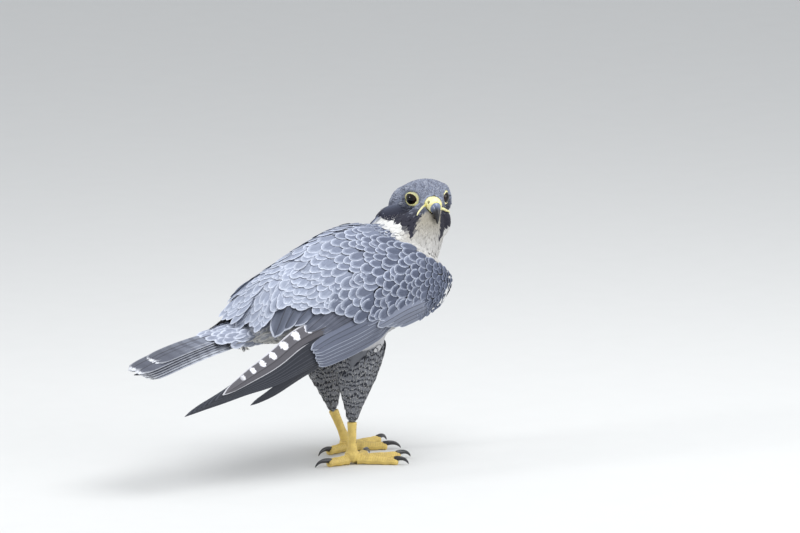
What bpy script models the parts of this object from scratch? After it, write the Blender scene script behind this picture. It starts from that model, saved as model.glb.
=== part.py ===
"""Peregrine falcon standing on both feet, body level, head turned back over its right shoulder.

The bird faces +X, its left side is +Y and +Z is up. The origin is on the floor, under the middle
of the model's box. All lengths are in millimetres until make_object turns them into metres.
"""

import math
import random

import bmesh
import bpy
import numpy as np

# Lengths in millimetres, angles in degrees
MM = 0.001
GAP = 0.3
VANE_THICK = 0.5
VANE_STEP = 0.85
TORSO_SIDES = 24
HEAD_SIDES = 24
THIGH_SIDES = 16
SHANK_SIDES = 12
TOE_SIDES = 8
BILL_SIDES = 12

# The model's box is centred on the origin by this shift of everything modelled below
SHIFT = np.array([57.2, 2.75, 0.0])

# Head: the point between the eyes, and the way the bill points
HEAD_AT = np.array([105.0, -15.0, 237.5])
HEAD_YAW = -116.0
EYE_AT = np.array([-4.4, 14.0, 0.0])
EYE_RADIUS = 7.6
EYE_OUTWARD = 55.0
EYE_RING_RADIUS = 6.9
EYE_RING_OUT = 3.9
EYE_RING_THICK = 1.35
EYE_RING_SIDES = (16, 5)
HOLLOW_OUT = 9.2
HOLLOW_REACH = (9.8, 8.8, 5.6)

# Feet: where each shank meets its toes, and how far each foot turns outwards
FOOT_AT = {"right": np.array([-7.0, -31.0, 8.0]), "left": np.array([32.0, 20.0, 8.0])}
FOOT_TURN = 12.0
FOOT_BALL = 7.6
ANKLE_AT = {"right": np.array([-9.0, -33.0, 41.0]), "left": np.array([18.0, 24.0, 41.0])}
SIDE = {"right": -1.0, "left": 1.0}

COLOURS = {
    "mantle": (0.20, 0.23, 0.28, 0.75),
    "hood": (0.10, 0.11, 0.14, 0.75),
    "breast": (0.72, 0.69, 0.62, 0.85),
    "flight": (0.13, 0.14, 0.17, 0.6),
    "thigh": (0.38, 0.39, 0.41, 0.8),
    "cere": (0.80, 0.65, 0.16, 0.45),
    "bill": (0.14, 0.17, 0.22, 0.3),
    "skin": (0.78, 0.56, 0.10, 0.5),
    "claw": (0.03, 0.03, 0.035, 0.3),
    "eye": (0.02, 0.012, 0.01, 0.08),
}


def unit(v):
    v = np.asarray(v, float)
    return v / np.linalg.norm(v)


def smooth(keys, rows, at):
    """Rows of numbers read at any place between keys, on a curve through all of them."""
    keys = np.asarray(keys, float)
    rows = np.asarray(rows, float)
    slopes = np.gradient(rows, keys, axis=0)
    place = min(max(at, keys[0]), keys[-1])
    i = min(int(np.searchsorted(keys, place, side="right")) - 1, len(keys) - 2)
    step = keys[i + 1] - keys[i]
    t = (place - keys[i]) / step
    return (
        rows[i] * (2 * t**3 - 3 * t**2 + 1)
        + slopes[i] * step * (t**3 - 2 * t**2 + t)
        + rows[i + 1] * (3 * t**2 - 2 * t**3)
        + slopes[i + 1] * step * (t**3 - t**2)
    )


def surface_material(name):
    found = bpy.data.materials.get(name)
    if found:
        return found
    red, green, blue, roughness = COLOURS[name]
    made = bpy.data.materials.new(name)
    made.use_nodes = True
    shader = made.node_tree.nodes["Principled BSDF"]
    shader.inputs["Base Color"].default_value = (red, green, blue, 1.0)
    shader.inputs["Roughness"].default_value = roughness
    shader.inputs["Metallic"].default_value = 0.0
    return made


def make_object(name, points, faces, material):
    """A mesh object from points in millimetres, its faces turned outwards."""
    mesh = bpy.data.meshes.new(name)
    placed = (np.asarray(points, float) + SHIFT) * MM
    mesh.from_pydata([tuple(p) for p in placed], [], faces)
    shape = bmesh.new()
    shape.from_mesh(mesh)
    bmesh.ops.recalc_face_normals(shape, faces=shape.faces)
    shape.to_mesh(mesh)
    shape.free()
    mesh.materials.append(surface_material(material))
    made = bpy.data.objects.new(name, mesh)
    bpy.context.scene.collection.objects.link(made)
    return made


def loft(name, sections, sides, material, squares=(2.0, 2.0)):
    """A closed tube through egg-shaped sections: (centre, wide, high, half_width, up, down).

    squares shape the upper and the lower half: 2 gives ellipses, and more gives fuller corners.
    """
    points = []
    for centre, wide, high, half_width, up, down in sections:
        for k in range(sides):
            turn = 2 * math.pi * k / sides
            square = squares[0] if math.sin(turn) > 0 else squares[1]
            aside = math.copysign(abs(math.cos(turn)) ** (2 / square), math.cos(turn))
            rise = math.copysign(abs(math.sin(turn)) ** (2 / square), math.sin(turn))
            tall = up if rise > 0 else down
            points.append(centre + wide * half_width * aside + high * tall * rise)
    faces = []
    for row in range(len(sections) - 1):
        for k in range(sides):
            a = row * sides + k
            b = row * sides + (k + 1) % sides
            faces.append((a, b, b + sides, a + sides))
    for row, last in ((0, False), (len(sections) - 1, True)):
        points.append(sections[row][0])
        for k in range(sides):
            a = row * sides + k
            b = row * sides + (k + 1) % sides
            faces.append((b, a, len(points) - 1) if not last else (a, b, len(points) - 1))
    return make_object(name, points, faces, material)


def join(target, others, operation="UNION", solver="EXACT"):
    """One Boolean of target with all the others, applied, and the others removed.

    The tail's vanes and the feet use MANIFOLD: EXACT leaves open seams in the tail, and it skips the cut that
    makes one foot's flats.
    """
    group = bpy.data.collections.new("joining")
    for other in others:
        group.objects.link(other)
    step = target.modifiers.new("join", "BOOLEAN")
    step.operation = operation
    step.solver = solver
    if len(others) == 1:
        step.object = others[0]
    else:
        step.operand_type = "COLLECTION"
        step.collection = group
    graph = bpy.context.evaluated_depsgraph_get()
    made = bpy.data.meshes.new_from_object(target.evaluated_get(graph))
    target.modifiers.clear()
    target.data = made
    for other in others:
        bpy.data.objects.remove(other)
    bpy.data.collections.remove(group)
    return target


def keep_largest(target):
    """Drops all but the largest closed surface, which also fills a sealed hollow."""
    shape = bmesh.new()
    shape.from_mesh(target.data)
    bmesh.ops.triangulate(shape, faces=shape.faces)
    unseen = set(shape.faces)
    groups = []
    while unseen:
        start = unseen.pop()
        group = [start]
        edge_of_group = [start]
        while edge_of_group:
            face = edge_of_group.pop()
            for edge in face.edges:
                for other in edge.link_faces:
                    if other in unseen:
                        unseen.discard(other)
                        group.append(other)
                        edge_of_group.append(other)
        groups.append(group)

    def volume(group):
        total = 0.0
        for face in group:
            a, b, c = (v.co for v in face.verts)
            total += a.dot(b.cross(c)) / 6
        return abs(total)

    groups.sort(key=volume, reverse=True)
    scrap = [face for group in groups[1:] for face in group]
    bmesh.ops.delete(shape, geom=scrap, context="FACES")
    shape.to_mesh(target.data)
    shape.free()
    return target


def box(name, low, high):
    """A plain block between two corners, for cutting."""
    low, high = np.asarray(low, float), np.asarray(high, float)
    corners = [
        (x, y, z) for x in (low[0], high[0]) for y in (low[1], high[1]) for z in (low[2], high[2])
    ]
    faces = [(0, 1, 3, 2), (4, 6, 7, 5), (0, 4, 5, 1), (2, 3, 7, 6), (0, 2, 6, 4), (1, 5, 7, 3)]
    return make_object(name, corners, faces, "mantle")


def half_space(point, normal, start):
    """A block that fills the space on normal's side of a plane, from start millimetres past the point."""
    normal = unit(normal)
    across = unit(np.cross(normal, (0.3, 1.0, 0.2)))
    along = np.cross(normal, across)
    corners = []
    for depth in (start, start + CUT_REACH):
        for a, b in ((-1, -1), (1, -1), (1, 1), (-1, 1)):
            corners.append(point + normal * depth + (across * a + along * b) * CUT_REACH)
    faces = [(0, 1, 2, 3), (4, 7, 6, 5), (0, 4, 5, 1), (1, 5, 6, 2), (2, 6, 7, 3), (3, 7, 4, 0)]
    return make_object("half_space", corners, faces, "mantle")


# Trunk: body and neck in one form, from the tail's root up to the head
# Each row is x, y, z, pitch of the spine, half width, height above and depth below
TRUNK = [
    (-122, 0, 131, 8, 17, 8, 7),
    (-105, 0, 135, 12, 22, 13, 13),
    (-85, 0, 140, 16, 28, 22, 21),
    (-60, 0, 147, 20, 37, 33, 32),
    (-30, 0, 154, 24, 44, 43, 42),
    (5, 0, 162, 26, 48, 48, 48),
    (40, 0, 173, 32, 47, 51, 47),
    (66, -1, 187, 46, 42, 49, 41),
    (82, -4, 204, 66, 38, 42, 37),
    (90, -8, 220, 78, 31, 30, 30),
    (99, -11, 237, 84, 20, 19, 19),
]
TRUNK_SQUARES = (1.65, 2.25)
TRUNK_STATIONS = 21
NECK_CUT_AT = np.array([74.0, -4.0, 196.0])
NECK_CUT_NORMAL = (0.42, 0.0, 0.91)
HEAD_CUT_AT = np.array([94.0, -12.0, 217.0])
HEAD_CUT_NORMAL = (0.05, -0.12, 1.0)
# Blocks that cut away everything on one side of a plane are this far across, from the plane's middle
CUT_REACH = 260.0


def trunk_sections(grow=0.0):
    keys = range(len(TRUNK))
    sections = []
    for at in np.linspace(0, len(TRUNK) - 1, TRUNK_STATIONS):
        x, y, z, pitch, half_width, up, down = smooth(keys, TRUNK, at)
        lean = math.radians(pitch)
        high = np.array([-math.sin(lean), 0.0, math.cos(lean)])
        wide = np.array([0.0, 1.0, 0.0])
        centre = np.array([x, y, z])
        sections.append((centre, wide, high, half_width + grow, up + grow, down + grow))
    ahead = np.array([math.cos(math.radians(TRUNK[0][3])), 0, math.sin(math.radians(TRUNK[0][3]))])
    first = sections[0]
    sections[0] = (first[0] - ahead * grow,) + first[1:]
    return sections


def trunk(name, grow=0.0):
    return loft(name, trunk_sections(grow), TORSO_SIDES, "mantle", TRUNK_SQUARES)


# Head, in its own frame: x ahead, y to the left, z up, from the point between the eyes
# Each row is x, middle height, half width, height above and depth below
HEAD_ROWS = [
    (-36, 1, 8, 5, 7),
    (-33.5, 1, 15, 9.5, 12),
    (-27, 0.5, 23, 15, 18),
    (-18, 0, 27.5, 19, 21),
    (-8, -1, 26, 21, 21),
    (0, -1.5, 22.5, 19.5, 19),
    (7, -2, 18, 15.5, 17),
    (12, -3, 13.5, 11.5, 13.5),
    (15.5, -3.5, 9.5, 8.3, 10),
]
HEAD_STATIONS = 15
# The nape is fullest on the side away from the turn
NAPE = {"at": (-21.0, -15.0, -11.0), "reach": (20.0, 20.0, 24.0)}
CHEEK = {"at": (3.0, 10.5, -20.0), "reach": (11.0, 11.0, 16.0)}
# The ball that rounds the hind neck into the back
HINDNECK = {"at": (74.0, -1.5, 214.8), "reach": 22.0}
BROW = {"at": (-1.0, 17.0, 8.2), "reach": (11.0, 4.2, 3.0)}

# Upper bill with its cere: x, z, slope of the axis, half width, height above and depth below
BILL_ROWS = [
    (9, -2.5, 0, 9.6, 8.0, 6.6),
    (14, -2.5, 0, 8.3, 8.0, 6.6),
    (19.5, -2.6, -8, 6.7, 7.6, 6.2),
    (23.5, -4.6, -32, 5.2, 6.3, 5.2),
    (26.6, -8.2, -58, 3.8, 4.4, 4.0),
    (28.2, -12.6, -80, 2.5, 2.9, 2.8),
    (28.6, -16.4, -92, 1.4, 1.6, 1.6),
    (28.4, -19.0, -96, 0.5, 0.6, 0.6),
]
BILL_STATIONS = 12
CERE_END = 19.5
CERE_FACE = (1, 0, 0.12)
NOSTRIL = {"at": (17.0, 6.6, 0.6), "radius": 1.35, "depth": 1.6}
# The yellow edge that runs back from the cere to the corner of the mouth
GAPE_ROWS = [(-3, 12.2, -14.6, 0.9), (4, 12.0, -12.6, 1.5), (10, 9.6, -9.6, 2.0), (15, 6.8, -6.0, 2.2)]
# Lower bill: x, z, half width, height above and depth below
JAW_ROWS = [
    (0, -15.2, 8.0, 1.6, 2.6),
    (8, -13.6, 7.4, 2.3, 3.2),
    (15, -12.9, 5.8, 2.1, 3.2),
    (20.5, -12.9, 4.2, 1.7, 2.7),
    (24.3, -12.6, 2.2, 1.0, 1.3),
]


def head_turn():
    yaw = math.radians(HEAD_YAW)
    ahead = np.array([math.cos(yaw), math.sin(yaw), 0.0])
    left = np.array([-math.sin(yaw), math.cos(yaw), 0.0])
    return np.array([ahead, left, (0.0, 0.0, 1.0)])


def from_head(p):
    """A point of the head's own frame, in the bird's frame."""
    return HEAD_AT + np.asarray(p, float) @ head_turn()


def head_direction(v):
    return np.asarray(v, float) @ head_turn()


def head_loft(name, rows, sides, material, grow=0.0, stations=None):
    """Rows of x, z, half width, up and down, across the head's own x axis."""
    count = stations or len(rows)
    sections = []
    for at in np.linspace(0, len(rows) - 1, count):
        x, z, half_width, up, down = smooth(range(len(rows)), rows, at)
        sections.append(
            (
                from_head((x, 0, z)),
                head_direction((0, 1, 0)),
                head_direction((0, 0, 1)),
                half_width + grow,
                up + grow,
                down + grow,
            )
        )
    return loft(name, sections, sides, material)


def bill_loft(name, material, grow=0.0):
    sections = []
    for at in np.linspace(0, len(BILL_ROWS) - 1, BILL_STATIONS):
        x, z, slope, half_width, up, down = smooth(range(len(BILL_ROWS)), BILL_ROWS, at)
        lean = math.radians(slope)
        sections.append(
            (
                from_head((x, 0, z)),
                head_direction((0, 1, 0)),
                head_direction((-math.sin(lean), 0, math.cos(lean))),
                half_width + grow,
                up + grow,
                down + grow,
            )
        )
    return loft(name, sections, BILL_SIDES, material)


def gape_loft(name, hand, material, grow=0.0):
    """The soft yellow edge of the mouth on one side."""
    sections = []
    for at in np.linspace(0, len(GAPE_ROWS) - 1, 6):
        x, y, z, radius = smooth(range(len(GAPE_ROWS)), GAPE_ROWS, at)
        radius += grow
        sections.append(
            (
                from_head((x, hand * y, z)),
                head_direction((0.35, hand * 0.94, 0)),
                head_direction((0, 0, 1)),
                radius,
                radius * 0.9,
                radius * 0.9,
            )
        )
    return loft(name, sections, 7, material)


def ball(name, centre, radius, material, rows=9, sides=16, axis=(0, 0, 1)):
    """A sphere, or an egg where radius is three numbers along a frame whose last axis is axis."""
    reach = np.broadcast_to(np.asarray(radius, float), (3,))
    high = unit(axis)
    wide = unit(np.cross(high, (0.12, 0.31, 0.94) if abs(high[2]) < 0.9 else (0.9, 0.1, 0.0)))
    deep = np.cross(high, wide)
    sections = []
    for row in range(1, rows):
        turn = math.pi * row / rows
        sections.append(
            (
                centre - high * reach[2] * math.cos(turn),
                wide,
                deep,
                reach[0] * math.sin(turn),
                reach[1] * math.sin(turn),
                reach[1] * math.sin(turn),
            )
        )
    made = loft(name, sections, sides, material)
    for vertex, way in ((-2, -1), (-1, 1)):
        point = (np.asarray(centre) + high * reach[2] * way + SHIFT) * MM
        made.data.vertices[len(made.data.vertices) + vertex].co = point
    return made


def eye_axis(hand):
    out = math.radians(EYE_OUTWARD)
    return head_direction((math.cos(out), hand * math.sin(out), 0.0))


def eye_centre(hand):
    return from_head((EYE_AT[0], hand * EYE_AT[1], EYE_AT[2]))


def eye_ring(name, hand):
    """The bare ring of the lids: a round bead that circles the eye."""
    axis = eye_axis(hand)
    up = np.array([0.0, 0.0, 1.0])
    side = np.cross(axis, up)
    centre = eye_centre(hand) + axis * EYE_RING_OUT
    around, bead = EYE_RING_SIDES
    points = []
    for i in range(around):
        turn = 2 * math.pi * i / around
        out = side * math.cos(turn) + up * math.sin(turn)
        for k in range(bead):
            tilt = 2 * math.pi * k / bead
            lift = math.cos(tilt) * EYE_RING_THICK
            points.append(
                centre + out * (EYE_RING_RADIUS + lift) + axis * math.sin(tilt) * EYE_RING_THICK
            )
    faces = []
    for i in range(around):
        j = (i + 1) % around
        for k in range(bead):
            m = (k + 1) % bead
            faces.append((i * bead + k, i * bead + m, j * bead + m, j * bead + k))
    return make_object(name, points, faces, "cere")


def swellings():
    """The balls that fill the cheeks and the hind neck. The cuts part them with the trunk."""
    made = [ball("hindneck", np.array(HINDNECK["at"]), HINDNECK["reach"], "breast", rows=8, sides=16)]
    for hand in (1, -1):
        at = from_head(np.array(CHEEK["at"]) * (1, hand, 1))
        made.append(ball("cheek", at, CHEEK["reach"], "breast", rows=8, sides=14))
    return made


def neck_and_body():
    """The whole form, parted by two thin cuts into torso, neck and head."""
    whole = join(trunk("torso"), swellings())
    torso = join(whole, [half_space(NECK_CUT_AT, NECK_CUT_NORMAL, -GAP / 2)], "DIFFERENCE")
    neck = join(trunk("neck"), swellings())
    neck = join(neck, [half_space(NECK_CUT_AT, np.negative(NECK_CUT_NORMAL), -GAP / 2)], "DIFFERENCE")
    neck = join(neck, [half_space(HEAD_CUT_AT, HEAD_CUT_NORMAL, -GAP / 2)], "DIFFERENCE")
    for piece in (torso, neck):
        keep_largest(piece)
    neck.data.materials.clear()
    neck.data.materials.append(surface_material("breast"))
    return torso, neck


def make_head():
    head = head_loft("head", HEAD_ROWS, HEAD_SIDES, "hood", stations=HEAD_STATIONS)
    throat = trunk("throat")
    brows = []
    for hand in (1, -1):
        at = np.array(BROW["at"]) * (1, hand, 1)
        along = head_direction((0.93, hand * -0.34, 0.05))
        reach = BROW["reach"]
        brows.append(ball("brow", from_head(at), (reach[1], reach[2], reach[0]), "hood",
                          rows=7, sides=10, axis=along))
    nape = ball("nape", from_head(NAPE["at"]), NAPE["reach"], "hood", rows=8, sides=16)
    head = join(head, [throat, nape] + swellings())
    for hand in (1, -1):
        hollow = ball("hollow", eye_centre(hand) + eye_axis(hand) * HOLLOW_OUT, HOLLOW_REACH, "hood",
                      rows=7, sides=16, axis=eye_axis(hand))
        head = join(head, [hollow], "DIFFERENCE")
    rings = [eye_ring("ring", hand) for hand in (1, -1)]
    head = join(head, brows + rings)
    head = join(head, [half_space(HEAD_CUT_AT, np.negative(HEAD_CUT_NORMAL), -GAP / 2)], "DIFFERENCE")
    for hand in (1, -1):
        socket = ball("socket", eye_centre(hand), EYE_RADIUS + GAP, "eye", rows=9, sides=16,
                      axis=eye_axis(hand))
        head = join(head, [socket], "DIFFERENCE")
    for cutter in (
        bill_loft("room", "cere", GAP),
        head_loft("jaw_room", JAW_ROWS, 12, "cere", GAP),
        gape_loft("gape_room", 1, "cere", GAP),
        gape_loft("gape_room", -1, "cere", GAP),
    ):
        head = join(head, [cutter], "DIFFERENCE")
    return keep_largest(head)


def make_bill():
    face = from_head((CERE_END, 0, 0))
    front = head_direction(CERE_FACE)
    cere = join(bill_loft("cere", "cere"), [half_space(face, front, 0.0)], "DIFFERENCE")
    cere = join(cere, [gape_loft("gape", 1, "cere"), gape_loft("gape", -1, "cere")])
    for hand in (1, -1):
        at = from_head((NOSTRIL["at"][0], hand * NOSTRIL["at"][1], NOSTRIL["at"][2]))
        axis = head_direction((0.15, hand, 0.1))
        pit = ball("pit", at, (NOSTRIL["radius"], NOSTRIL["radius"], NOSTRIL["depth"]), "cere",
                   rows=5, sides=8, axis=axis)
        cere = join(cere, [pit], "DIFFERENCE")
    upper = join(bill_loft("bill_upper", "bill"), [half_space(face, -front, -GAP)], "DIFFERENCE")
    jaw = head_loft("bill_lower", JAW_ROWS, 12, "bill", stations=9)
    for cutter in (
        bill_loft("room", "bill", GAP),
        gape_loft("gape_room", 1, "cere", GAP),
        gape_loft("gape_room", -1, "cere", GAP),
    ):
        jaw = join(jaw, [cutter], "DIFFERENCE")
    for piece in (cere, upper, jaw):
        keep_largest(piece)
    return cere, upper, jaw


def make_eyes():
    for hand, name in ((1, "eye_left"), (-1, "eye_right")):
        ball(name, eye_centre(hand), EYE_RADIUS, "eye", rows=9, sides=16, axis=eye_axis(hand))


# Wing skin: the outer surface that every covert and quill lies on, from the wrist to the tip
# Each row is x, then y and z of the leading edge, of the side, of the shoulder and of the back
WING_ROWS = {
    "right": [
        (102, 50, 160, 53, 165, 51, 172, 46, 176),
        (88, 55, 147, 59, 164, 55, 183, 43, 197),
        (64, 57, 136, 63, 160, 58, 191, 32, 216),
        (30, 58, 125, 65, 156, 56, 190, 16, 219),
        (0, 59, 116, 65, 148, 54, 187, 12, 216),
        (-30, 60, 108, 64, 138, 52, 178, 12, 207),
        (-60, 60, 102, 61, 128, 50, 161, 16, 193),
        (-90, 60, 96, 60, 116, 50, 144, 24, 176),
        (-120, 60, 91, 58, 104, 52, 120, 40, 143),
        (-160, 59, 86, 58, 94, 56, 102, 52, 111),
        (-200, 59, 81, 58, 84.5, 58, 88, 57, 92),
        (-232, 59, 76, 59, 76.5, 59, 77, 59, 77.6),
    ],
    "left": [
        (102, 50, 162, 53, 167, 51, 173, 46, 177),
        (88, 55, 151, 59, 166, 55, 184, 43, 198),
        (64, 57, 142, 63, 164, 58, 194, 32, 218),
        (30, 57, 134, 64, 160, 56, 192, 16, 220),
        (0, 56, 127, 63, 154, 54, 189, 12, 217),
        (-30, 53, 122, 59, 146, 51, 180, 12, 208),
        (-60, 49, 118, 53, 138, 46, 165, 16, 194),
        (-90, 44, 115, 47, 130, 42, 152, 24, 177),
        (-120, 41, 113, 42, 123, 39, 135, 31, 150),
        (-160, 38, 110, 38.5, 115, 37.5, 120, 36, 125),
        (-200, 35, 107, 35, 109, 34.6, 111.5, 34, 114),
        (-226, 33, 105, 33, 105.5, 33, 106, 33, 106.5),
    ],
}


def wing_point(side, x, v):
    """The wing's skin at x, from its leading edge at v = 0 to its edge on the back at v = 1."""
    rows = np.array(WING_ROWS[side], float)[::-1]
    across = smooth(rows[:, 0], rows[:, 1:], x).reshape(4, 2)
    y, z = smooth((0.0, 1 / 3, 2 / 3, 1.0), across, v)
    return np.array([x, SIDE[side] * y, z])


def wing_normal(side, x, v):
    along = wing_point(side, x + 3, v) - wing_point(side, x - 3, v)
    across = wing_point(side, x, v + 0.03) - wing_point(side, x, v - 0.03)
    out = unit(np.cross(along, across))
    return out if out[1] * SIDE[side] > -0.05 and out @ (0, SIDE[side], 0.6) > 0 else -out


# Wing core: the arm and its small coverts, with a step down where the tiers of quills start
CORE_X = np.array([101, 95, 85, 70, 52, 32, 10, -14, -36, -56])
CORE_V = np.linspace(0.0, 1.0, 9)
CORE_STEP = 5.5
CORE_STEP_AT = (78.0, 34.0)
CORE_STEP_LENGTH = 26.0
CORE_THICK = 9.5
CORE_RIM = 1.2
# The arm thins over this length at its front and its hind end, and by these shares towards its edges
CORE_ENDS = ((103.0, 18.0), (-64.0, 40.0))
CORE_EDGE = (0.35, 3.2)


def core_step(x, v):
    """How far the core lies under the wing's skin, to leave room for the tiers."""
    start = CORE_STEP_AT[0] * (1 - v) + CORE_STEP_AT[1] * v
    t = min(1.0, max(0.0, (start - x) / CORE_STEP_LENGTH))
    return CORE_STEP * t * t * (3 - 2 * t)


def core_depth(x, v):
    """How thick the arm is: thin at its edges and its hind end."""
    (front, front_length), (hind, hind_length) = CORE_ENDS
    ends = min(1.0, (front - x) / front_length, (x - hind) / hind_length)
    edges = min(1.0, CORE_EDGE[0] + CORE_EDGE[1] * min(v, 1 - v))
    return CORE_RIM + CORE_THICK * ends * edges


def sheet(name, outer, inner, rows, cols, material):
    """A closed shell between two like grids of points, split alike on both faces."""
    under = len(outer)
    faces = []
    for i in range(rows - 1):
        for j in range(cols - 1):
            a, b, c, d = i * cols + j, i * cols + j + 1, (i + 1) * cols + j + 1, (i + 1) * cols + j
            faces += [(a, b, c), (a, c, d)]
            faces += [(under + a, under + c, under + b), (under + a, under + d, under + c)]
    rim = [i * cols for i in range(rows)] + [(rows - 1) * cols + j for j in range(1, cols)]
    rim += [i * cols + cols - 1 for i in range(rows - 2, -1, -1)] + list(range(cols - 2, 0, -1))
    for k, a in enumerate(rim):
        b = rim[(k + 1) % len(rim)]
        faces.append((a, b, under + b, under + a))
    return make_object(name, outer + inner, faces, material)


def make_core(side):
    outer, inner = [], []
    for x in CORE_X:
        for v in CORE_V:
            out = wing_normal(side, x, v)
            top = wing_point(side, x, v) - out * core_step(x, v)
            outer.append(top)
            inner.append(top - out * core_depth(x, v))
    return sheet("wing_" + side, outer, inner, len(CORE_X), len(CORE_V), "flight")


# Tiers of feathers on the wing, from the lowest to the highest
# root and tip are x and v on the wing's skin, for the tier's lowest feather and its highest
# width and lift are in millimetres, and droop lets a loose feather hang
TIERS = [
    {"name": "loose quill", "count": 1, "root": ((-30, 0.10), (-30, 0.10)),
     "tip": ((-150, 0.04), (-150, 0.04)), "width": (12, 12), "lift": (-9.2, -9.2),
     "shape": "pointed", "droop": 10.0},
    {"name": "primary", "count": 7, "root": ((-36, 0.06), (-32, 0.50)),
     "tip": ((-231, 0.40), (-124, 0.74)), "width": (12, 13), "lift": (-8.4, -2.4),
     "shape": "pointed", "bow": 1.4, "most_tilt": 0.02},
    {"name": "secondary", "count": 4, "root": ((14, 0.43), (-4, 0.65)),
     "tip": ((-68, 0.46), (-90, 0.63)), "width": (13, 13), "lift": (-2.2, -1.4), "shape": "round"},
    {"name": "tertial", "count": 3, "root": ((-6, 0.70), (-20, 0.92)),
     "tip": ((-82, 0.69), (-106, 0.90)), "width": (18, 18), "lift": (-1.4, 0.2), "shape": "round"},
    {"name": "primary covert", "count": 4, "root": ((24, 0.06), (18, 0.34)),
     "tip": ((-72, 0.08), (-84, 0.40)), "width": (11, 11), "lift": (-3.2, -1.4), "shape": "round"},
    {"name": "alula", "count": 3, "root": ((78, 0.08), (70, 0.24)),
     "tip": ((-8, 0.08), (3, 0.26)), "width": (11, 12), "lift": (0.4, 0.6), "shape": "round"},
    {"name": "greater covert", "count": 5, "root": ((42, 0.37), (12, 0.68)),
     "tip": ((-14, 0.36), (-48, 0.64)), "width": (13, 14), "lift": (0.2, 1.8), "shape": "round"},
    {"name": "scapular", "count": 5, "root": ((20, 0.68), (-4, 0.96)),
     "tip": ((-34, 0.69), (-74, 0.96)), "width": (19, 19), "lift": (1.0, 3.4), "shape": "round"},
]
SHAPES = {
    "round": [(0.0, 0.45), (0.30, 0.95), (0.70, 1.0), (0.92, 0.72), (1.0, 0.25)],
    "pointed": [(0.0, 0.55), (0.30, 1.0), (0.62, 0.90), (0.85, 0.55), (1.0, 0.10)],
}
ROOT_SINK = 9.0
MOST_TILT = 0.30
SEED = 7


def between(pair, f):
    return np.asarray(pair[0], float) * (1 - f) + np.asarray(pair[1], float) * f


def feather_line(side, tier, f, shift):
    """Places on the wing's skin along one feather, with the way out of the skin and half width."""
    root = between(tier["root"], f)
    tip = between(tier["tip"], f ** tier.get("bow", 1.0)) + (shift, 0.0)
    line = []
    for t, share in SHAPES[tier["shape"]]:
        x, v = root * (1 - t) + tip * t
        out = wing_normal(side, x, v)
        height = between(tier["lift"], f) if t > 0 else -ROOT_SINK
        hang = np.array([0, 0, tier.get("droop", 0.0) * t * t])
        centre = wing_point(side, x, v) + out * height - hang
        line.append((centre, out, between(tier["width"], f) / 2 * share))
    return line


def wing_vanes(side):
    """All the feathers of a wing, each tilted like a shingle over the one below it."""
    draw = random.Random(SEED)
    vanes = []
    for tier in TIERS:
        count = tier["count"]
        lines = []
        for i in range(count):
            lines.append(feather_line(side, tier, i / max(1, count - 1), draw.uniform(-1.5, 1.5)))
        for i, line in enumerate(lines):
            stations = []
            for k, (centre, out, half) in enumerate(line):
                way = unit(line[min(k + 1, len(line) - 1)][0] - line[max(k - 1, 0)][0])
                high = unit(np.cross(out, way)) * SIDE[side]
                tilt = 0.0
                if count > 1:
                    other = lines[i + 1] if i + 1 < count else lines[i - 1]
                    space = abs((other[k][0] - centre) @ high)
                    most = tier.get("most_tilt", MOST_TILT)
                    tilt = math.asin(min(most, VANE_STEP / max(space, 1.0)))
                across = high * math.cos(tilt) - out * math.sin(tilt)
                flat = unit(np.cross(way, across))
                stations.append((centre, across, flat if flat @ out > 0 else -flat, half))
            vanes.append(vane("vane", stations))
    return vanes


def vane(name, stations, thick=VANE_THICK, material="flight"):
    """A flat feather of even thickness, both faces split into triangles alike."""
    points, faces = [], []
    for centre, across, out, half in stations:
        for lateral, height in ((-half, -1), (half, -1), (half, 1), (-half, 1)):
            points.append(centre + across * lateral + out * height * thick / 2)
    for row in range(len(stations) - 1):
        a = row * 4
        faces += [(a, a + 1, a + 5), (a, a + 5, a + 4)]
        faces += [(a + 1, a + 2, a + 6), (a + 1, a + 6, a + 5)]
        faces += [(a + 3, a + 6, a + 2), (a + 3, a + 7, a + 6)]
        faces += [(a + 3, a, a + 4), (a + 3, a + 4, a + 7)]
    last = (len(stations) - 1) * 4
    faces += [(0, 3, 2), (0, 2, 1), (last, last + 1, last + 2), (last, last + 2, last + 3)]
    return make_object(name, points, faces, material)


def make_wing(side):
    wing = join(make_core(side), wing_vanes(side))
    thigh = loft("room", thigh_sections(side, GAP), THIGH_SIDES, "thigh")
    for room in (trunk("room", GAP), thigh):
        wing = join(wing, [room], "DIFFERENCE")
    return keep_largest(wing)


# Tail: where it starts and ends, and how it rolls towards the right side
TAIL_ROOT = np.array([-96.0, 0.0, 137.0])
TAIL_TIP = np.array([-252.0, -1.0, 113.5])
TAIL_ROLL = (16.0, 6.0)
TAIL_ARCH = 5.0
TAIL_CORE = [(0.0, 15, 6, 6), (0.12, 19, 5.5, 5.5), (0.26, 18, 3.6, 3.6), (0.36, 10, 1.2, 1.2)]
RECTRIX_PAIRS = 6
RECTRIX_HALF = (6.5, 11.0)
RECTRIX_ASIDE = ((1.0, 2.2), (11.0, 15.0))
RECTRIX_SHORT = (0.13, 0.0, 0.01, 0.02, 0.03, 0.05)
TAIL_STEP = 0.8
TAIL_COVERTS = {"count": 5, "reach": (0.30, 0.42), "half": 9.0, "spread": 13.0}


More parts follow.
